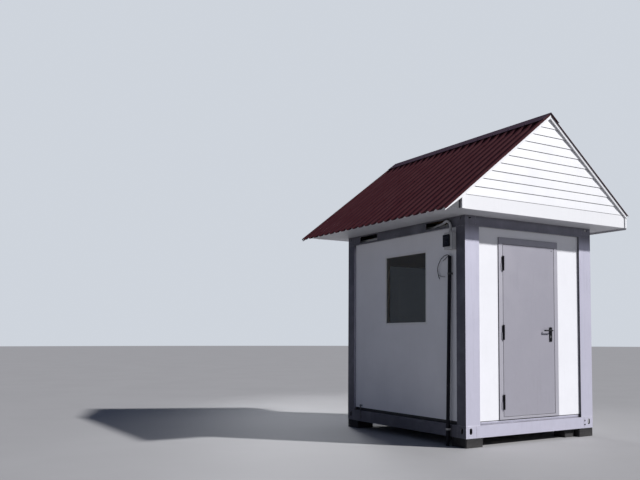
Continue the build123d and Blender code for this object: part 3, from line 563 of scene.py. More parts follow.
wall_white = white_coat("wall_white", (0.81, 0.81, 0.835), 0.7, 0.0016, 0.2)
board_white = white_coat("board_white", (0.80, 0.80, 0.81), 0.4, 0.0006, grain=0.00015, laps=0.8)
trim_white = white_coat("trim_white", (0.82, 0.82, 0.83), 0.5, 0.0004)
window_white = white_coat("window_white", (0.78, 0.78, 0.78), 0.3, 0.0002, 0.2)
soffit_grey = white_coat("soffit_grey", (0.56, 0.56, 0.58), 0.35, 0.0010)
# A near-black coat that stands in for the shade on the eaves' end plates.
plate_shade_dark = white_coat("plate_shade_dark", (0.085, 0.085, 0.092), 0.35, 0.0010)
ceiling_white = white_coat("ceiling_white", (0.78, 0.78, 0.77), 0.6, 0.001)
print("finishes so far", len(bpy.data.materials))

# %% [markdown]
# ## Roof coating
# The roof sheets have a dark brown-red coat. Sun and rain chalk it in cloudy patches and
# leave pale tracks down the slope, so the noise for the tracks is stretched down the slope.
# The sloping sides of the ribs are painted much darker than the flats, as painted shade. The
# ridge cap has a cooler, lighter tone than the sheets.

# %% Roof sheets and ridge cap
def roof_coat(name, colour, chalked, chalk):
    """Matt coil coating with chalky clouds, tracks of rain, small spots and painted shade on the rib sides.
    """
    material, tree = start_material(name, Roughness=0.6, Specular_IOR_Level=0.10)
    tone = place_group(tree, cloudy_tone, Colour=colour, Second_Colour=chalked, Patch_Size=0.22, Amount=chalk)
    tracks = noise(tree, 55.0, 3.0, 0.6, (0.05, 1, 0.05)).spread(0.52, 0.74) * 0.3
    spots = noise(tree, 70.0, 5.0, 0.7).spread(0.62, 0.74) * 0.22
    rib_side_shade = abs(facing(tree, "Y")).spread(0.15, 0.6) * 0.45
    coat = tracks.blend(tone["Colour"], chalked)
    coat = spots.blend(coat, (0.11, 0.06, 0.065))
    # Painted shade: the sloping rib sides are blended towards near-black.
    coat = rib_side_shade.blend(coat, (0.012, 0.003, 0.004))
    dull = tone["Mask"].spread(0.0, 0.7, 0.52, 0.68)
    skin = place_group(
        tree, coated_skin, Wave_Size=0.25, Wave_Height=0.0010, Peel_Size=0.003, Peel_Height=0.00005
    )
    return end_material(material, skin["Height"], Base_Color=coat, Roughness=dull)


roof_red = roof_coat("roof_red", (0.076, 0.0148, 0.0205), (0.100, 0.030, 0.037), 0.5)
cap_red = roof_coat("cap_red", (0.135, 0.082, 0.110), (0.18, 0.125, 0.155), 0.6)
print("finishes so far", len(bpy.data.materials))

# %% [markdown]
# ## Timber
# The blocks under the corners are taken for dark weathered timber, and the trusses inside
# the roof are clean sawn softwood. Grain is noise pulled long in the direction of the fibres:
# the larger two numbers of the stretch lie across the grain.

# %% Dark blocks and roof timber
def timber(name, colour, grain_colour, stretch, height, roughness):
    """Sawn timber with grain, clouds and dust."""
    material, tree = start_material(name, Roughness=roughness)
    wood = place_group(
        tree, sawn_timber, Colour=colour, Grain_Colour=grain_colour,
        Grain_Stretch=stretch, Grain_Height=height,
    )
    tone = place_group(
        tree, cloudy_tone, Colour=wood["Colour"], Second_Colour=grain_colour, Patch_Size=0.12, Amount=0.5
    )
    dusty = place_group(tree, road_dust, Colour=tone["Colour"], Reach=0.12, Amount=0.12, Top_Amount=0.3)
    return end_material(material, wood["Height"], Base_Color=dusty["Colour"])


block_timber = timber("block_timber", (0.017, 0.015, 0.016), (0.006, 0.005, 0.005), (1, 9, 9), 0.0012, 0.75)
truss_wood = timber("truss_wood", (0.56, 0.40, 0.23), (0.34, 0.20, 0.10), (1, 14, 5), 0.0005, 0.7)
print("finishes so far", len(bpy.data.materials))

# %% [markdown]
# ## Plastics, rubber and black metal
# Moulded plastic has a very fine even grain and a low gloss; rubber and cable jacket are
# darker and have a finer grain. Small black metal parts keep some shine and lose their coat on
# the edges that a hand or a tool touches.

# %% Moulded plastic and rubber
def moulded(name, colour, second, grain_size, grain_height, roughness, dust=0.0, below=None, gloss=0.5):
    """Moulded plastic or rubber with fine grain, clouds and dust; below one level it may be paler."""
    material, tree = start_material(name, Roughness=roughness, Specular_IOR_Level=gloss)
    tone = place_group(tree, cloudy_tone, Colour=colour, Second_Colour=second, Patch_Size=0.06, Amount=0.6)
    dusty = place_group(tree, road_dust, Colour=tone["Colour"], Reach=0.4, Amount=dust, Top_Amount=0.35)
    skin = dusty["Colour"]
    if below:
        level, paler = below
        skin = place_on(tree, "Z").below(level, 0.001).blend(skin, paler)
    fine = noise(tree, 1.0 / grain_size, 3.0, 0.6) * grain_height
    return end_material(material, fine, Base_Color=skin, Roughness=dusty["Mask"] * 0.3 + roughness)


grey_moulding = moulded("grey_moulding", (0.56, 0.56, 0.57), (0.49, 0.49, 0.50), 0.0012, 0.00004, 0.45)
ribbed_tube_grey = moulded("ribbed_tube_grey", (0.48, 0.49, 0.51), (0.38, 0.38, 0.39), 0.002, 0.00003, 0.42)
black_moulding = moulded(
    "black_moulding", (0.004, 0.004, 0.009), (0.007, 0.007, 0.013), 0.0015, 0.00005, 0.55, gloss=0.22
)
cable_black = moulded(
    "cable_black", (0.004, 0.004, 0.006), (0.008, 0.008, 0.011), 0.001, 0.00003, 0.5, gloss=0.2
)
clip_plastic = moulded(
    "clip_plastic", (0.02, 0.02, 0.022), (0.035, 0.035, 0.037), 0.0015, 0.00004, 0.45, 0.3,
    below=(1.0, (0.42, 0.41, 0.40)),
)
seal_rubber = moulded("seal_rubber", (0.02, 0.02, 0.021), (0.04, 0.04, 0.04), 0.001, 0.00004, 0.6, 0.3)
fascia_coat = moulded(
    "fascia_coat", (0.068, 0.0125, 0.0170), (0.09, 0.024, 0.029), 0.003, 0.00004, 0.55,
    below=(2.5168, (0.40, 0.40, 0.42)),
)
floor_cover = moulded("floor_cover", (0.33, 0.29, 0.25), (0.24, 0.21, 0.18), 0.003, 0.0001, 0.5)
white_moulding = moulded("white_moulding", (0.74, 0.74, 0.72), (0.62, 0.61, 0.58), 0.001, 0.00003, 0.4)
print("finishes so far", len(bpy.data.materials))

# %% Coated and plated metal
hinge_pin = mid - 0.4375


def coated_metal(name, colour, bare, roughness, bare_metal, worn, wings=None, gloss=0.5):
    """A thin coat or plating on metal, rubbed through at the edges; hinge wings may be painted over."""
    material, tree = start_material(name, Roughness=roughness, Specular_IOR_Level=gloss)
    tone = place_group(
        tree, cloudy_tone, Colour=colour, Second_Colour=darker(colour, 0.7), Patch_Size=0.03, Amount=0.6
    )
    edge = place_group(tree, worn_edges, Edge_Width=0.003, Break_Size=0.01, Amount=worn)
    coat = edge["Mask"].blend(tone["Colour"], bare)
    if wings:
        on_wing = abs(place_on(tree, "X") - hinge_pin).spread(0.0100, 0.0108)
        coat = on_wing.blend(coat, wings)
    grain = noise(tree, 350.0, 2.0, 0.5)
    return end_material(
        material, grain * 0.00004, Base_Color=coat, Metallic=edge["Mask"].spread(0.0, 1.0, bare_metal, 1.0),
        Roughness=grain.spread(0.3, 0.7, roughness - 0.06, roughness + 0.08),
    )


near_black, rubbed = (0.004, 0.004, 0.006), (0.03, 0.029, 0.028)
black_coat = coated_metal("black_coat", near_black, rubbed, 0.30, 0.0, 0.2, gloss=0.18)
hinge_coat = coated_metal(
    "hinge_coat", near_black, rubbed, 0.35, 0.0, 0.2, wings=(0.30, 0.295, 0.33), gloss=0.18
)
strap_zinc = coated_metal("strap_zinc", (0.085, 0.085, 0.095), (0.30, 0.30, 0.30), 0.5, 0.3, 0.3)
zinc = coated_metal("zinc", (0.50, 0.50, 0.51), (0.68, 0.67, 0.65), 0.42, 0.9, 0.6)
print("finishes so far", len(bpy.data.materials))

# %% [markdown]
# ## Glass and the smoked cover
# The panes are tinted and the room behind them is dark. Glass keeps plain settings, set
# straight on the shader, and gets its life from a thin film of dust: a mask that only
# roughens the surface in soft patches and tones it a little.

# %% Tinted glass and smoked plastic
def clear_sheet(name, tint, clean, dusty, gloss):
    """Clear tinted sheet, with patches where a film of dust makes it less clear."""
    material, tree = start_material(
        name, Roughness=clean, IOR=1.45, Transmission_Weight=1.0, Specular_IOR_Level=gloss
    )
    film = place_group(
        tree, cloudy_tone, Colour=tint, Second_Colour=darker(tint, 0.92), Patch_Size=0.18, Amount=0.8
    )
    dull = film["Mask"].spread(0.0, 0.8, clean, dusty)
    return end_material(material, None, Base_Color=film["Colour"], Roughness=dull)


pane_glass = clear_sheet("pane_glass", (0.60, 0.57, 0.47), 0.01, 0.04, 0.30)
smoked_plastic = clear_sheet("smoked_plastic", (0.13, 0.13, 0.14), 0.06, 0.14, 0.4)
print("finishes so far", len(bpy.data.materials))


# %% [markdown]
# ## Dressing the measured pieces
# Every piece of the measured model names the finish it takes, so the finishes are laid on
# in one loop. The ridge cap shares the roof's slot in the record but has its own tone, and
# the clips, the eaves' end plates and fascia, the strap and the hinges differ from their slots too.

# %% Finishes on the model's own pieces
slot_finish = {
    "timber_blocks": block_timber,
    "frame_steel": frame_paint,
    "floor_covering": floor_cover,
    "ceiling_panel": ceiling_white,
    "wall_panel": wall_white,
    "window_frame": window_white,
    "window_glass": pane_glass,
    "door_frame": door_frame_paint,
    "door_paint": door_paint,
    "black_metal": black_coat,
    "roof_sheet": roof_red,
    "siding": board_white,
    "white_trim": trim_white,
    "soffit_board": soffit_grey,
    "truss_timber": truss_wood,
    "grey_plastic": grey_moulding,
    "smoked_cover": smoked_plastic,
    "flex_plastic": ribbed_tube_grey,
    "black_plastic": black_moulding,
    "cable_jacket": cable_black,
    "zinc_steel": zinc,
}


def dress(piece, finish):
    """Give a piece one finish in its only material slot."""
    piece.data.materials.clear()
    piece.data.materials.append(finish)


for part in frame["record"]["subparts"]:
    dress(nodes[part["node"]], slot_finish[part["material_slot"]])
dress(nodes["ridge_cap"], cap_red)
dress(nodes["conduit_clips"], clip_plastic)
# The end plates take the near-black coat that stands in for their shade.
dress(nodes["eave_end_plates"], plate_shade_dark)
dress(nodes["eave_fascia"], fascia_coat)
dress(nodes["earth_strap"], strap_zinc)
for hinge_half in ("hinge_frame_halves", "hinge_leaf_halves"):
    dress(nodes[hinge_half], hinge_coat)

floor_finish, floor_tree = start_material("studio_floor_paint", Roughness=0.75)
floor_tone = place_group(
    floor_tree, cloudy_tone, Colour=(0.39, 0.385, 0.385), Second_Colour=(0.365, 0.36, 0.36),
    Patch_Size=1.5, Amount=0.5,
)
dress(studio_floor, end_material(floor_finish, None, Base_Color=floor_tone["Colour"]))
print("dressed", len(nodes), "pieces")

# %% [markdown]
# ## Tools for small shapes
# The last pieces are screws, seals, beads and strips. A shape is held as a pair of lists,
# points and faces, with its own +Z pointing out of the surface it will sit on. So one
# screw head can be made once, turned to any wall and set in a row of places.

# %% Moving, copying and fitting shapes
x_out, y_out, z_out = Vector((1, 0, 0)), Vector((0, 1, 0)), Vector((0, 0, 1))


def together(*shapes):
    """Several shapes as one."""
    points, faces = [], []
    for shape_points, shape_faces in shapes:
        start = len(points)
        points.extend(shape_points)
        faces.extend(tuple(i + start for i in face) for face in shape_faces)
    return points, faces


def placed(shape, place, direction=z_out, spin=0.0):
    """A shape with its own +Z turned to a direction and its origin put at a place."""
    turn = Vector(direction).to_track_quat("Z", "Y").to_matrix().to_4x4()
    matrix = Matrix.Translation(place) @ turn @ Matrix.Rotation(spin, 4, "Z")
    return [matrix @ Vector(point) for point in shape[0]], shape[1]


def copies(shape, places, direction=z_out, spin_step=0.0):
    """The same shape at many places, each turned a little further round."""
    return together(*[placed(shape, place, direction, k * spin_step) for k, place in enumerate(places)])


def fit(name, shape, slot, finish=None, body="booth", smooth=True):
    """Make a shape into a piece that rides on a body; it takes its slot's finish unless one is named."""
    piece = build_mesh(name, shape[0], shape[1], smooth)
    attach(piece, body)
    dress(piece, finish or slot_finish[slot])
    return piece


print("tools for small shapes ready")

# %% [markdown]
# Round parts are turned from a profile as on a lathe. Blocks get small bevels, because no
# real edge is perfectly sharp and the bevel catches the light. A rim is a strip that runs
# round a rectangle with mitred or rounded corners, such as the rubber round a pane. A weld
# bead is a row of small overlapping ripples.

# %% Faces between rings, turned parts and blocks
def skinned(points, count, closed=False):
    """Faces between rings of points; closed joins the last ring to the first, else both get an end."""
    layers = len(points) // count
    faces = []
    for layer in range(layers if closed else layers - 1):
        low = layer * count
        high = (layer + 1) % layers * count
        for k in range(count):
            n = (k + 1) % count
            faces.append((low + k, low + n, high + n, high + k))
    if not closed:
        faces.append(tuple(range(count)))
        faces.append(tuple(range(len(points) - count, len(points))))
    return points, faces


def turned(profile, sides=20, closed=False):
    """A shape turned about its own Z from pairs of radius and height."""
    points, faces, rings = [], [], []
    for radius, height in profile:
        count = sides if radius > 0 else 1
        rings.append((len(points), count))
        for k in range(count):
            angle = 2 * pi * k / sides
            points.append((radius * cos(angle), radius * sin(angle), height))
    if closed:
        rings.append(rings[0])
    for (low, low_count), (high, high_count) in zip(rings, rings[1:]):
        for k in range(sides):
            n = (k + 1) % sides
            corners = (low + k % low_count, low + n % low_count, high + n % high_count, high + k % high_count)
            faces.append(tuple(dict.fromkeys(corners)))
    return points, faces


def block(low, high, edge=0.001, steps=2):
    """A block between two corners, with rounded edges."""
    work = bmesh.new()
    size = [b - a for a, b in zip(low, high)]
    bmesh.ops.create_cube(work, size=1.0, matrix=Matrix.Diagonal((*size, 1.0)))
    bmesh.ops.bevel(
        work, geom=work.edges[:], offset=edge, segments=steps, profile=0.5, affect="EDGES", clamp_overlap=True
    )
    work.verts.index_update()
    centre = Vector([(a + b) / 2 for a, b in zip(low, high)])
    points = [vert.co + centre for vert in work.verts]
    faces = [tuple(vert.index for vert in face.verts) for face in work.faces]
    work.free()
    return points, faces


# %% Rims and plates
def outline(width, height, corner, steps=5):
    """Points and outward directions round a rectangle with rounded corners, in its own XY."""
    row = []
    for k, (sx, sy) in enumerate(((1, 1), (-1, 1), (-1, -1), (1, -1))):
        for step in range(steps + 1):
            angle = pi / 2 * (k + step / steps)
            way = Vector((cos(angle), sin(angle), 0))
            middle = Vector((sx * (width / 2 - corner), sy * (height / 2 - corner), 0))
            row.append((middle + corner * way, way))
    return row


def rim(width, height, corner, profile, closed=True):
    """A strip round a rectangle from pairs of outward and height: hollow when closed, else a solid plate."""
    row = outline(width, height, corner)
    points = [place + outward * way + level * z_out for outward, level in profile for place, way in row]
    return skinned(points, len(row), closed)


def plate(width, height, corner, thickness, edge):
    """A plate with rounded corners and a softened front edge, its back at height zero."""
    soft = 0.3 * edge
    profile = ((0.0, 0.0), (0.0, thickness - edge), (-soft, thickness - soft), (-edge, thickness))
    return rim(width, height, corner, profile, closed=False)


# %% Weld beads
def weld_bead(start, end, outward, width=0.006, ripple=0.004):
    """A rippled bead of weld between two points, standing on a surface."""
    start, end, outward = Vector(start), Vector(end), Vector(outward)
    along = (end - start).normalized()
    aside = along.cross(outward)
    count = max(4, round((end - start).length / ripple) * 2)
    sides, sunk = 6, 0.0004
    dip, end_size, height_share = 0.84, 0.4, 0.32
    points = []
    for k in range(count + 1):
        swell = (1.0 if k % 2 else dip) * (end_size if k in (0, count) else 1.0)
        middle = start.lerp(end, k / count)
        for step in range(sides + 1):
            angle = pi * step / sides
            sideways = swell * width / 2 * cos(angle) * aside
            upward = swell * width * height_share * sin(angle) * outward
            points.append(middle + (sideways + upward) - sunk * outward)
    return skinned(points, sides + 1)


# %% Smooth curves, screws and bolts
def smooth_curve(name, points, radius=0.0):
    """A NURBS curve over the given control points, as thick as a cable.

    The thickness sits in the points, because a curve's own box counts each point's radius.
    """
    data = bpy.data.curves.new(name, "CURVE")
    data.dimensions = "3D"
    data.resolution_u = 12
    data.bevel_depth = 1.0 if radius else 0.0
    data.bevel_resolution = 5
    data.use_fill_caps = True
    line = data.splines.new("NURBS")
    line.points.add(len(points) - 1)
    for point, place in zip(line.points, points):
        point.co = (*place, 1.0)
        point.radius = radius
    line.order_u = 3
    line.use_endpoint_u = True
    return add_object(name, data)


def line_of(name, points):
    """The close points of a smooth curve's own line, read from the curve."""
    bare = smooth_curve(name + "_line", points)
    data = bpy.data.meshes.new_from_object(bare)
    places = [vert.co.copy() for vert in data.vertices]
    bpy.data.objects.remove(bare)
    bpy.data.meshes.remove(data)
    return places


hex_screw = together(
    turned([(0.0088, 0.0), (0.0088, 0.0018), (0.0078, 0.0026), (0.0, 0.0026)], 18),
    turned([(0.0068, 0.0026), (0.0068, 0.0036), (0.0, 0.0036)], 18),
    turned([(0.0046, 0.0036), (0.0046, 0.0078), (0.0040, 0.0085), (0.0, 0.0085)], 6),
)
dome_screw = turned([(0.0040, 0.0), (0.0040, 0.0004), (0.0032, 0.0014), (0.0016, 0.0019), (0.0, 0.0020)], 16)
hex_bolt = together(
    turned([(0.0105, 0.0), (0.0105, 0.0018), (0.0100, 0.0022), (0.0, 0.0022)], 24),
    turned([(0.0086, 0.0022), (0.0086, 0.0074), (0.0076, 0.0086), (0.0, 0.0086)], 6),
)
print("screw faces", len(hex_screw[1]), "bolt faces", len(hex_bolt[1]))

# %% [markdown]
# ## Roof fixings
# The sheets are held by hexagon screws with rubber washers, driven through every second rib
# crown in four rows down each slope, and a row through the ridge cap on each side. The cap's
# lower edges are folded back on themselves, and where two sheets overlap, the top one's edge
# shows as a thin step down the slope. All sit on the slope, so one helper finds the place.

# %% Places on the roof
roof_pitch = atan2(1.03, 1.30)
ridge_height = 3.695
rib_step = 2.99 / 22
rib_places = [-1.495 + k * rib_step for k in range(23)]


def on_roof(side, down, along, lift):
    """A place on one slope: side -1 is left and 1 is right."""
    across = side * (down * cos(roof_pitch) + lift * sin(roof_pitch))
    height = ridge_height - down * sin(roof_pitch) + lift * cos(roof_pitch)
    return Vector((mid + across, along, height))


def roof_out(side):
    """The direction square to one slope."""
    return Vector((side * sin(roof_pitch), 0, cos(roof_pitch)))


def roof_strip(side, down, along, lift):
    """A thin flat strip on the roof, from three pairs of limits."""
    points = [on_roof(side, d, a, h) for d in down for a in along for h in lift]
    faces = [(0, 1, 3, 2), (4, 5, 7, 6), (0, 1, 5, 4), (2, 3, 7, 6), (0, 2, 6, 4), (1, 3, 7, 5)]
    return points, faces


print("roof pitch", round(roof_pitch * 180 / pi, 1), "degrees, ribs", len(rib_places))

# %% Screws, folded edges and sheet laps
screw_rows = {-1: (0.24, 0.78, 1.32, 1.88), 1: (0.24, 0.72, 1.18, 1.62)}
slope_length = {-1: 1.950, 1: 1.682}
crown_lift = 0.0212
cap_screw_down, cap_edge_down, lap_start = 0.112, 0.1432, 0.165
hem_radius, half_hem = 0.0024, 1.529
lap_height = 0.0011
screw_count = 0
for side, label in ((-1, "left"), (1, "right")):
    heads = []
    for row, down in enumerate(screw_rows[side]):
        places = [on_roof(side, down, along, crown_lift) for along in rib_places[1:22:2]]
        heads.append(copies(hex_screw, places, roof_out(side), 0.7 + row))
        screw_count += len(places)
    fit(f"roof_screws_{label}", together(*heads), "roof_sheet")
    cap_places = [on_roof(side, cap_screw_down, along, crown_lift + 0.0012) for along in rib_places[::2]]
    screw_count += len(cap_places)
    fit(f"cap_screws_{label}", copies(hex_screw, cap_places, roof_out(side), 0.5), "roof_sheet", cap_red)
    hem = turned([(0.0, -half_hem), (hem_radius, -half_hem), (hem_radius, half_hem), (0.0, half_hem)], 10)
    edge_place = on_roof(side, cap_edge_down, 0.0, crown_lift + 0.0026)
    fit(f"cap_hem_{label}", placed(hem, edge_place, y_out), "roof_sheet", cap_red)
    laps = [
        roof_strip(
            side,
            (lap_start, slope_length[side] - 0.003),
            (rib_places[rib] - 0.019, rib_places[rib] + 0.0185),
            (crown_lift, crown_lift + lap_height),
        )
        for rib in (7, 14)
    ]
    fit(f"sheet_laps_{label}", together(*laps), "roof_sheet", smooth=False)
print("roof screws", screw_count)

# %% [markdown]
# ## Door fittings
# Round the back of the door's edge runs a rubber seal, fixed to the frame's stop so that it
# stays behind when the door opens. The threshold has a thin bright strip. The long handle
# plates have two screws each, a collar round the lever's neck and a lock below it, and the
# hinges have round caps and small domed screws. What is on the leaf rides on the door.

# %% Door seal and threshold
stop_left = mid - 0.425
stop_right = mid + 0.365
seal_back, seal_front = -1.1400, -1.1444
near, far = 0.0015, 0.0095
seal_foot, seal_top, seal_edge = 0.305, 2.2285, 0.0016
seal_bars = together(
    block((stop_left - far, seal_front, seal_foot), (stop_left - near, seal_back, 2.228), seal_edge, 3),
    block((stop_right + near, seal_front, seal_foot), (stop_right + far, seal_back, 2.228), seal_edge, 3),
    block((stop_left - far, seal_front, 2.2205), (stop_right + far, seal_back, seal_top), seal_edge, 3),
)
fit("door_seal", seal_bars, "cable_jacket", seal_rubber)
tread = together(
    block((mid - 0.439, -1.1845, 0.2998), (mid + 0.379, -1.141, 0.3012), 0.0005, 1),
    *[
        block((mid - 0.424, y - 0.0022, 0.2998), (mid + 0.364, y + 0.0022, 0.3018), 0.0007, 2)
        for y in (-1.134, -1.128, -1.122, -1.116)
    ],
)
fit("threshold_strip", tread, "zinc_steel")
print("door seal and threshold", len(seal_bars[1]) + len(tread[1]), "faces")

# %% Lock, screws and collar of the handle
lock_x, lock_z = mid + 0.310, 1.193
plate_front, plate_rear = -1.193, -1.137
leaf_front, leaf_rear = -1.185, -1.145
spindle_z = 1.265
keyway = block((-0.0006, -0.0040, 0.0), (0.0006, 0.0036, 0.0006), 0.0002, 1)
barrel = turned([(0.0038, 0.0), (0.0038, 0.0009), (0.0034, 0.0013), (0.0, 0.0013)], 24)
lock_face = together(
    plate(0.0094, 0.0324, 0.0046, 0.0058, 0.0006),
    placed(barrel, (0, 0.010, 0.0057)),
)
key_slot = placed(keyway, (0, 0.010, 0.0067))
collar = turned(
    [(0.0092, 0.0), (0.0125, 0.0), (0.0125, 0.0018), (0.0112, 0.0030), (0.0092, 0.0030)], 32, closed=True
)
for y, surface, out, label in (
    (plate_front, leaf_front, -y_out, "outside"),
    (plate_rear, leaf_rear, y_out, "inside"),
):
    fit(f"lock_{label}", placed(lock_face, (lock_x, surface, lock_z), out), "zinc_steel", body="door")
    slot_piece = placed(key_slot, (lock_x, surface, lock_z), out)
    fit(f"keyway_{label}", slot_piece, "black_metal", body="door")
    fixings = together(
        copies(dome_screw, [(lock_x, y, lock_z - 0.046), (lock_x, y, lock_z + 0.098)], out, 0.9),
        placed(collar, (lock_x, y, spindle_z), out),
    )
    fit(f"handle_fixings_{label}", fixings, "black_metal", body="door")
print("lock at", round(lock_x, 3), lock_z)

# %% Hinge caps and screws
hinge_y = -1.197
hinge_levels = (0.466, 1.241, 2.016)
cap_rise, screw_aside, screw_rises = 0.079, 0.021, (0.016, 0.040, 0.064)
cap = turned(
    [(0.0098, -0.0006), (0.0098, 0.0012), (0.0086, 0.0034), (0.0054, 0.0052), (0.0, 0.0058)], 24
)
wing_face = -1.1892
for part, way, body in (("frame", -1, "booth"), ("leaf", 1, "door")):
    caps = copies(cap, [(hinge_pin, hinge_y, z + way * cap_rise) for z in hinge_levels], way * z_out)
    screws = [
        (hinge_pin + way * screw_aside, wing_face, z + way * rise)
        for z in hinge_levels
        for rise in screw_rises
    ]
    heads = copies(dome_screw, screws, -y_out, 0.8)
    fit(f"hinge_{part}_fixings", together(caps, heads), "black_metal", hinge_coat, body)
print("hinges", len(hinge_levels), "screws on each half", len(screws))

# %% [markdown]
# ## Feet of the walls and seals of the windows
# The steel rail carries each wall on a low ledge. At the front and rear the ledge shows as a
# painted strip, with a thin black strip above it as painted shadow under the wall's foot. Along
# the sides a black strip fills the gap as painted shade of the recess. Each pane is held by a
# black gasket inside and out, and a fine line of sealant runs round each window frame on the wall.

# %% Sill strips, painted shade strips and gaskets
inner_left, inner_right = mid - 0.7995, mid + 0.7995
sills = together(
    block((inner_left, -1.172, 0.2318), (inner_right, -1.1645, 0.2635), 0.0015, 2),
    block((inner_left, 1.1645, 0.2318), (inner_right, 1.172, 0.2635), 0.0015, 2),
)
fit("sill_strips", sills, "frame_steel")
# Black strips that stand in for the shade under the walls' feet and in the side recesses.
foot_shade_strips = together(
    *[
        block((min(x, x + s * 0.006), -1.0495, 0.2325), (max(x, x + s * 0.006), 1.0495, 0.2715), 0.001, 2)
        for x, s in ((mid - 0.9545, -1), (mid + 0.9545, 1))
    ],
    block((inner_left, -1.1675, 0.2630), (inner_right, -1.1640, 0.2722), 0.001, 1),
    block((inner_left, 1.1640, 0.2630), (inner_right, 1.1675, 0.2722), 0.001, 1),
)
fit("painted_shade_strips", foot_shade_strips, "cable_jacket", seal_rubber)
window_z = 1.765
gasket_profile = [(0.0006, 0.0), (-0.0055, 0.0), (-0.0052, 0.0020), (-0.0030, 0.0036), (0.0006, 0.0046)]
gasket = rim(0.81, 0.81, 0.001, gasket_profile)
sealant = rim(0.85, 0.85, 0.001, [(-0.0002, 0.0), (0.0042, 0.0), (0.0018, 0.0012), (-0.0002, 0.0030)])
window_places = (
    (-x_out, (mid - 0.975, -0.065, window_z)),
    (x_out, (mid + 0.975, -0.065, window_z)),
    (y_out, (mid, 1.175, window_z)),
)
outer_depth, inner_depth = 0.018, 0.024
gaskets, beads = [], []
for out, place in window_places:
    for depth, way in ((outer_depth, 1), (inner_depth, -1)):
        gaskets.append(placed(gasket, Vector(place) - depth * out, way * out))
    beads.append(placed(sealant, place, out))
fit("window_gaskets", together(*gaskets), "cable_jacket", seal_rubber)
fit("window_sealant", together(*beads), "window_frame")
print("gaskets", len(gaskets), "sealant beads", len(beads))

# %% [markdown]
# ## Welds and bolts of the steel frame
# Posts, rails and corner castings are welded together. Seen close, a weld is a narrow rippled
# bead under the paint. Two small black bolts show in the lower casting at the front right,
# and the casting diagonally opposite is given two as well. One bright bolt sits in the face
# of the upper casting at the front right.

# %% Weld beads and frame bolts
seam_heights = ((0.104, 0.229), (2.406, 2.511))
seam_levels = (0.232, 2.403)


def corner_welds(upright, ends, out):
    """The beads on one face of a corner: two upright ones beside it and two level ones."""
    beads = [weld_bead((*upright, low), (*upright, high), out) for low, high in seam_heights]
    beads += [weld_bead((*ends[0], level), (*ends[1], level), out) for level in seam_levels]
    return beads


welds = []
for sy in (-1, 1):
    for sx in (-1, 1):
        face_y, side_x = sy * 1.2, mid + sx * 1.0
        ends = [(x, face_y) for x in sorted((mid + sx * 0.803, mid + sx * 0.997))]
        welds += corner_welds((mid + sx * 0.85, face_y), ends, sy * y_out)
        side_ends = [(side_x, y) for y in sorted((sy * 1.053, sy * 1.197))]
        welds += corner_welds((side_x, sy * 1.05), side_ends, sx * x_out)
fit("frame_welds", together(*welds), "frame_steel")
bolts = [
    placed(hex_screw, (mid + way * 0.862, -way * 1.2, z), -way * y_out, 0.4)
    for way in (1, -1)
    for z in (0.143, 0.190)
]
fit("casting_bolts", together(*bolts), "black_metal")
bright_bolt = placed(hex_bolt, (mid + 0.906, -1.2, 2.489), -y_out, 0.3)
fit("top_casting_bolt", bright_bolt, "zinc_steel")
print("weld beads", len(welds), "bolts", len(bolts) + 1)

# %% [markdown]
# ## Switch box and its tubes
# The switch box is a grey moulding with a lid: a seam runs round it, four screws hold the
# lid, and three small switches stand behind the smoked cover in a white panel. The ribbed
# tube ends in a gland with a grip nut and a collar.

# %% Lid, switches and gland
box_x = mid - 1.071
box_y = -0.985
lid_seam = rim(0.120, 0.190, 0.008, [(-0.0006, 0.0), (0.0008, 0.0), (0.0008, 0.0022), (-0.0006, 0.0022)])
seam_piece = placed(lid_seam, (box_x + 0.028, box_y, 2.245), -x_out)
fit("lid_seam", seam_piece, "grey_plastic", black_moulding)
corners = [(box_x, box_y + dy, z) for dy in (-0.0505, 0.0505) for z in (2.160, 2.330)]
fit("lid_screws", copies(dome_screw, corners, -x_out, 0.7), "grey_plastic", white_moulding)
panel = placed(plate(0.062, 0.088, 0.003, 0.0012, 0.0004), (box_x, box_y, 2.243), -x_out)
fit("switch_panel", panel, "grey_plastic", white_moulding)
switch_places = [box_y + k * 0.0178 for k in (-1, 0, 1)]
bodies = [
    block((box_x - 0.0062, y - 0.0086, 2.2155), (box_x, y + 0.0086, 2.2705), 0.0006)
    for y in switch_places
]
fit("switch_bodies", together(*bodies), "grey_plastic")
levers = [
    block((box_x - 0.0120, y - 0.0035, 2.2480), (box_x - 0.005, y + 0.0035, 2.2560), 0.0012)
    for y in switch_places
]
fit("switch_levers", together(*levers), "black_plastic")
gland_place = (mid - 1.023, box_y, 2.340)
grip = block((0.0205, -0.0018, 0.0022), (0.0226, 0.0018, 0.0128), 0.0006, 2)
grip_count = 14
grips = [placed(grip, (0, 0, 0), z_out, 2 * pi * k / grip_count) for k in range(grip_count)]
collar_ring = turned(
    [(0.0152, 0.016), (0.0185, 0.016), (0.0180, 0.021), (0.0165, 0.0228), (0.0152, 0.0228)], 28, closed=True
)
fit("gland_grips", placed(together(*grips, collar_ring), gland_place), "grey_plastic")
print("switch box at", round(box_x, 4), box_y)

# %% [markdown]
# The ribbed tube is a mesh: rings of points along its smooth line, their radius going up and
# down every 6 mm. A frame that is carried along the line without twisting keeps the rings
# square to it. The line runs from the rail's opening round to the gland on the box.

# %% Ribbed tube along its line
def tube_along(places, radii, sides=16):
    """A round tube through places, each with its own radius."""
    points, aside = [], None
    for k, (place, radius) in enumerate(zip(places, radii)):
        ahead = (places[min(k + 1, len(places) - 1)] - places[max(k - 1, 0)]).normalized()
        if aside is None:
            aside = ahead.orthogonal().normalized()
        else:
            aside = (aside - ahead * aside.dot(ahead)).normalized()
        other = ahead.cross(aside)
        for step in range(sides):
            angle = 2 * pi * step / sides
            points.append(place + radius * (cos(angle) * aside + sin(angle) * other))
    return skinned(points, sides)


def along_line(places, step):
    """Even places along a line of close points."""
    row, left = [places[0]], step
    for a, b in zip(places, places[1:]):
        run = (b - a).length
        while run > 0 and left <= run:
            row.append(a.lerp(b, left / run))
            left += step
        left -= run
    return row


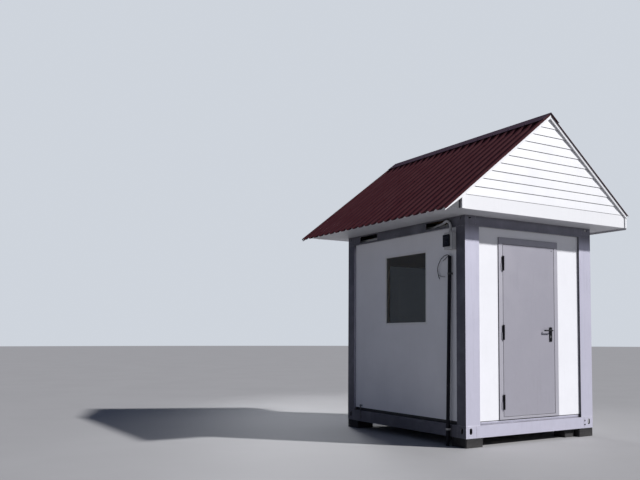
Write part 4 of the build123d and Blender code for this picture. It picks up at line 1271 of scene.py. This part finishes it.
flex_points = [
    (-0.8125, -0.594, 2.447),
    (-0.833, -0.605, 2.447),
    (-0.852, -0.655, 2.452),
    (-0.852, -0.780, 2.468),
    (-0.915, -0.885, 2.474),
    (-0.918, -0.935, 2.474),
    (-0.918, -0.985, 2.432),
    (-0.918, -0.985, 2.356),
]
ring_step, rib_length = 0.0015, 0.006
flex_line = along_line(line_of("flex", flex_points), ring_step)
rib_radii = [0.0137 + 0.0013 * cos(2 * pi * k * ring_step / rib_length) for k in range(len(flex_line))]
ribbed_tube = fit("ribbed_tube", tube_along(flex_line, rib_radii), "flex_plastic")
ribbed_tube.data.shade_smooth()
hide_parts("flex_conduit")
print("ribbed tube", round(ring_step * len(flex_line), 3), "m")

# %% [markdown]
# The upright tube for the cables leans a little. Its cut top has a rounded rim, and each
# clip is drawn tight by a bolt. The strap at the rear end of the base rail is held by a bolt
# with a washer.

# %% Tube rim, clip bolts and strap bolt
tube_foot = Vector((mid - 1.027, -0.922, 0.0))
tube_top = Vector((mid - 1.004, -0.943, 2.085))
lean = (tube_top - tube_foot).normalized()
rim_ring = turned(
    [
        (0.0171, -0.006), (0.0205, -0.006), (0.0208, -0.001),
        (0.0198, 0.0010), (0.0180, 0.0010), (0.0171, -0.001),
    ],
    28, closed=True,
)
fit("tube_rim", placed(rim_ring, tube_top, lean), "black_plastic")
clip_bolts = []
for level in (0.182, 1.890):
    axis_place = tube_foot.lerp(tube_top, level / tube_top.z)
    clip_bolts.append(placed(dome_screw, axis_place - 0.0232 * x_out, -x_out, 0.5))
fit("clip_bolts", together(*clip_bolts), "zinc_steel")
washer = turned(
    [(0.0040, 0.0), (0.0124, 0.0), (0.0124, 0.0014), (0.0118, 0.0018), (0.0040, 0.0018)], 26, closed=True
)
cap_of_bolt = turned([(0.0076, 0.0), (0.0060, 0.0010), (0.0, 0.0014)], 20)
earth_parts = together(
    placed(washer, (mid - 1.004, 0.89, 0.3025), -x_out),
    placed(cap_of_bolt, (mid - 1.017, 0.89, 0.3025), -x_out),
)
fit("earth_washer", earth_parts, "zinc_steel")
print("rim at", [round(v, 3) for v in tube_top])

# %% [markdown]
# ## Loose cables
# Two cables come out of the top of the upright tube: a thick one bends over its rim and
# hangs down the wall to a stripped end, and a short one stands beside it and bends over. A
# thin one branches off the thick one near its end. A cable is best made as a curve: a few
# control points are given, and a smooth NURBS line drawn along them bends as it does.
# The ends are stripped, so a tip with a pale inner sleeve and a thinner core is turned and
# set at each line's end.

# %% Cables as smooth curves
loop_points = [
    (-0.905, -0.954, 2.040),
    (-0.905, -0.954, 2.065),
    (-0.905, -0.9425, 2.0865),
    (-0.905, -0.9214, 2.0996),
    (-0.904, -0.896, 2.101),
    (-0.903, -0.851, 2.094),
    (-0.902, -0.801, 2.069),
    (-0.900, -0.757, 2.027),
    (-0.897, -0.729, 1.981),
    (-0.894, -0.721, 1.937),
    (-0.890, -0.729, 1.887),
    (-0.885, -0.743, 1.843),
]
tail_points = [
    (-0.890, -0.73545, 1.88885),
    (-0.888, -0.763, 1.873),
    (-0.886, -0.801, 1.864),
    (-0.884, -0.844, 1.860),
]
stub_points = [
    (-0.892, -0.953, 2.040),
    (-0.892, -0.953, 2.071),
    (-0.892, -0.940, 2.090),
    (-0.892, -0.919, 2.094),
    (-0.892, -0.893, 2.082),
    (-0.893, -0.863, 2.063),
    (-0.894, -0.822, 2.041),
]


def loose_cable(name, node, points, radius, bare_length):
    """A cable that stands for one of the model's, with a stripped tip on its far end."""
    cable = smooth_curve(name, points, radius)
    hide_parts(node)
    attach(cable, "booth")
    dress(cable, cable_black)
    line = line_of(name, points)
    ahead = (line[-1] - line[-2]).normalized()
    wide, thin, sleeve_end = 0.7 * radius, 0.34 * radius, 0.45 * bare_length
    profile = [(0.0, -0.002), (wide, -0.002), (wide, sleeve_end), (thin, sleeve_end)]
    sleeve = turned(profile + [(thin, bare_length), (0.0, bare_length)], 14)
    tip = fit(name + "_tip", placed(sleeve, line[-1], ahead), "cable_jacket", white_moulding)
    return cable


thick_cable = loose_cable("thick_cable", "cable_loop", loop_points, 0.004, 0.014)
thin_cable = loose_cable("thin_cable", "cable_tail", tail_points, 0.0025, 0.012)
short_cable = loose_cable("short_cable", "cable_stub", stub_points, 0.003, 0.010)
print("cables", thick_cable.name, thin_cable.name, short_cable.name)
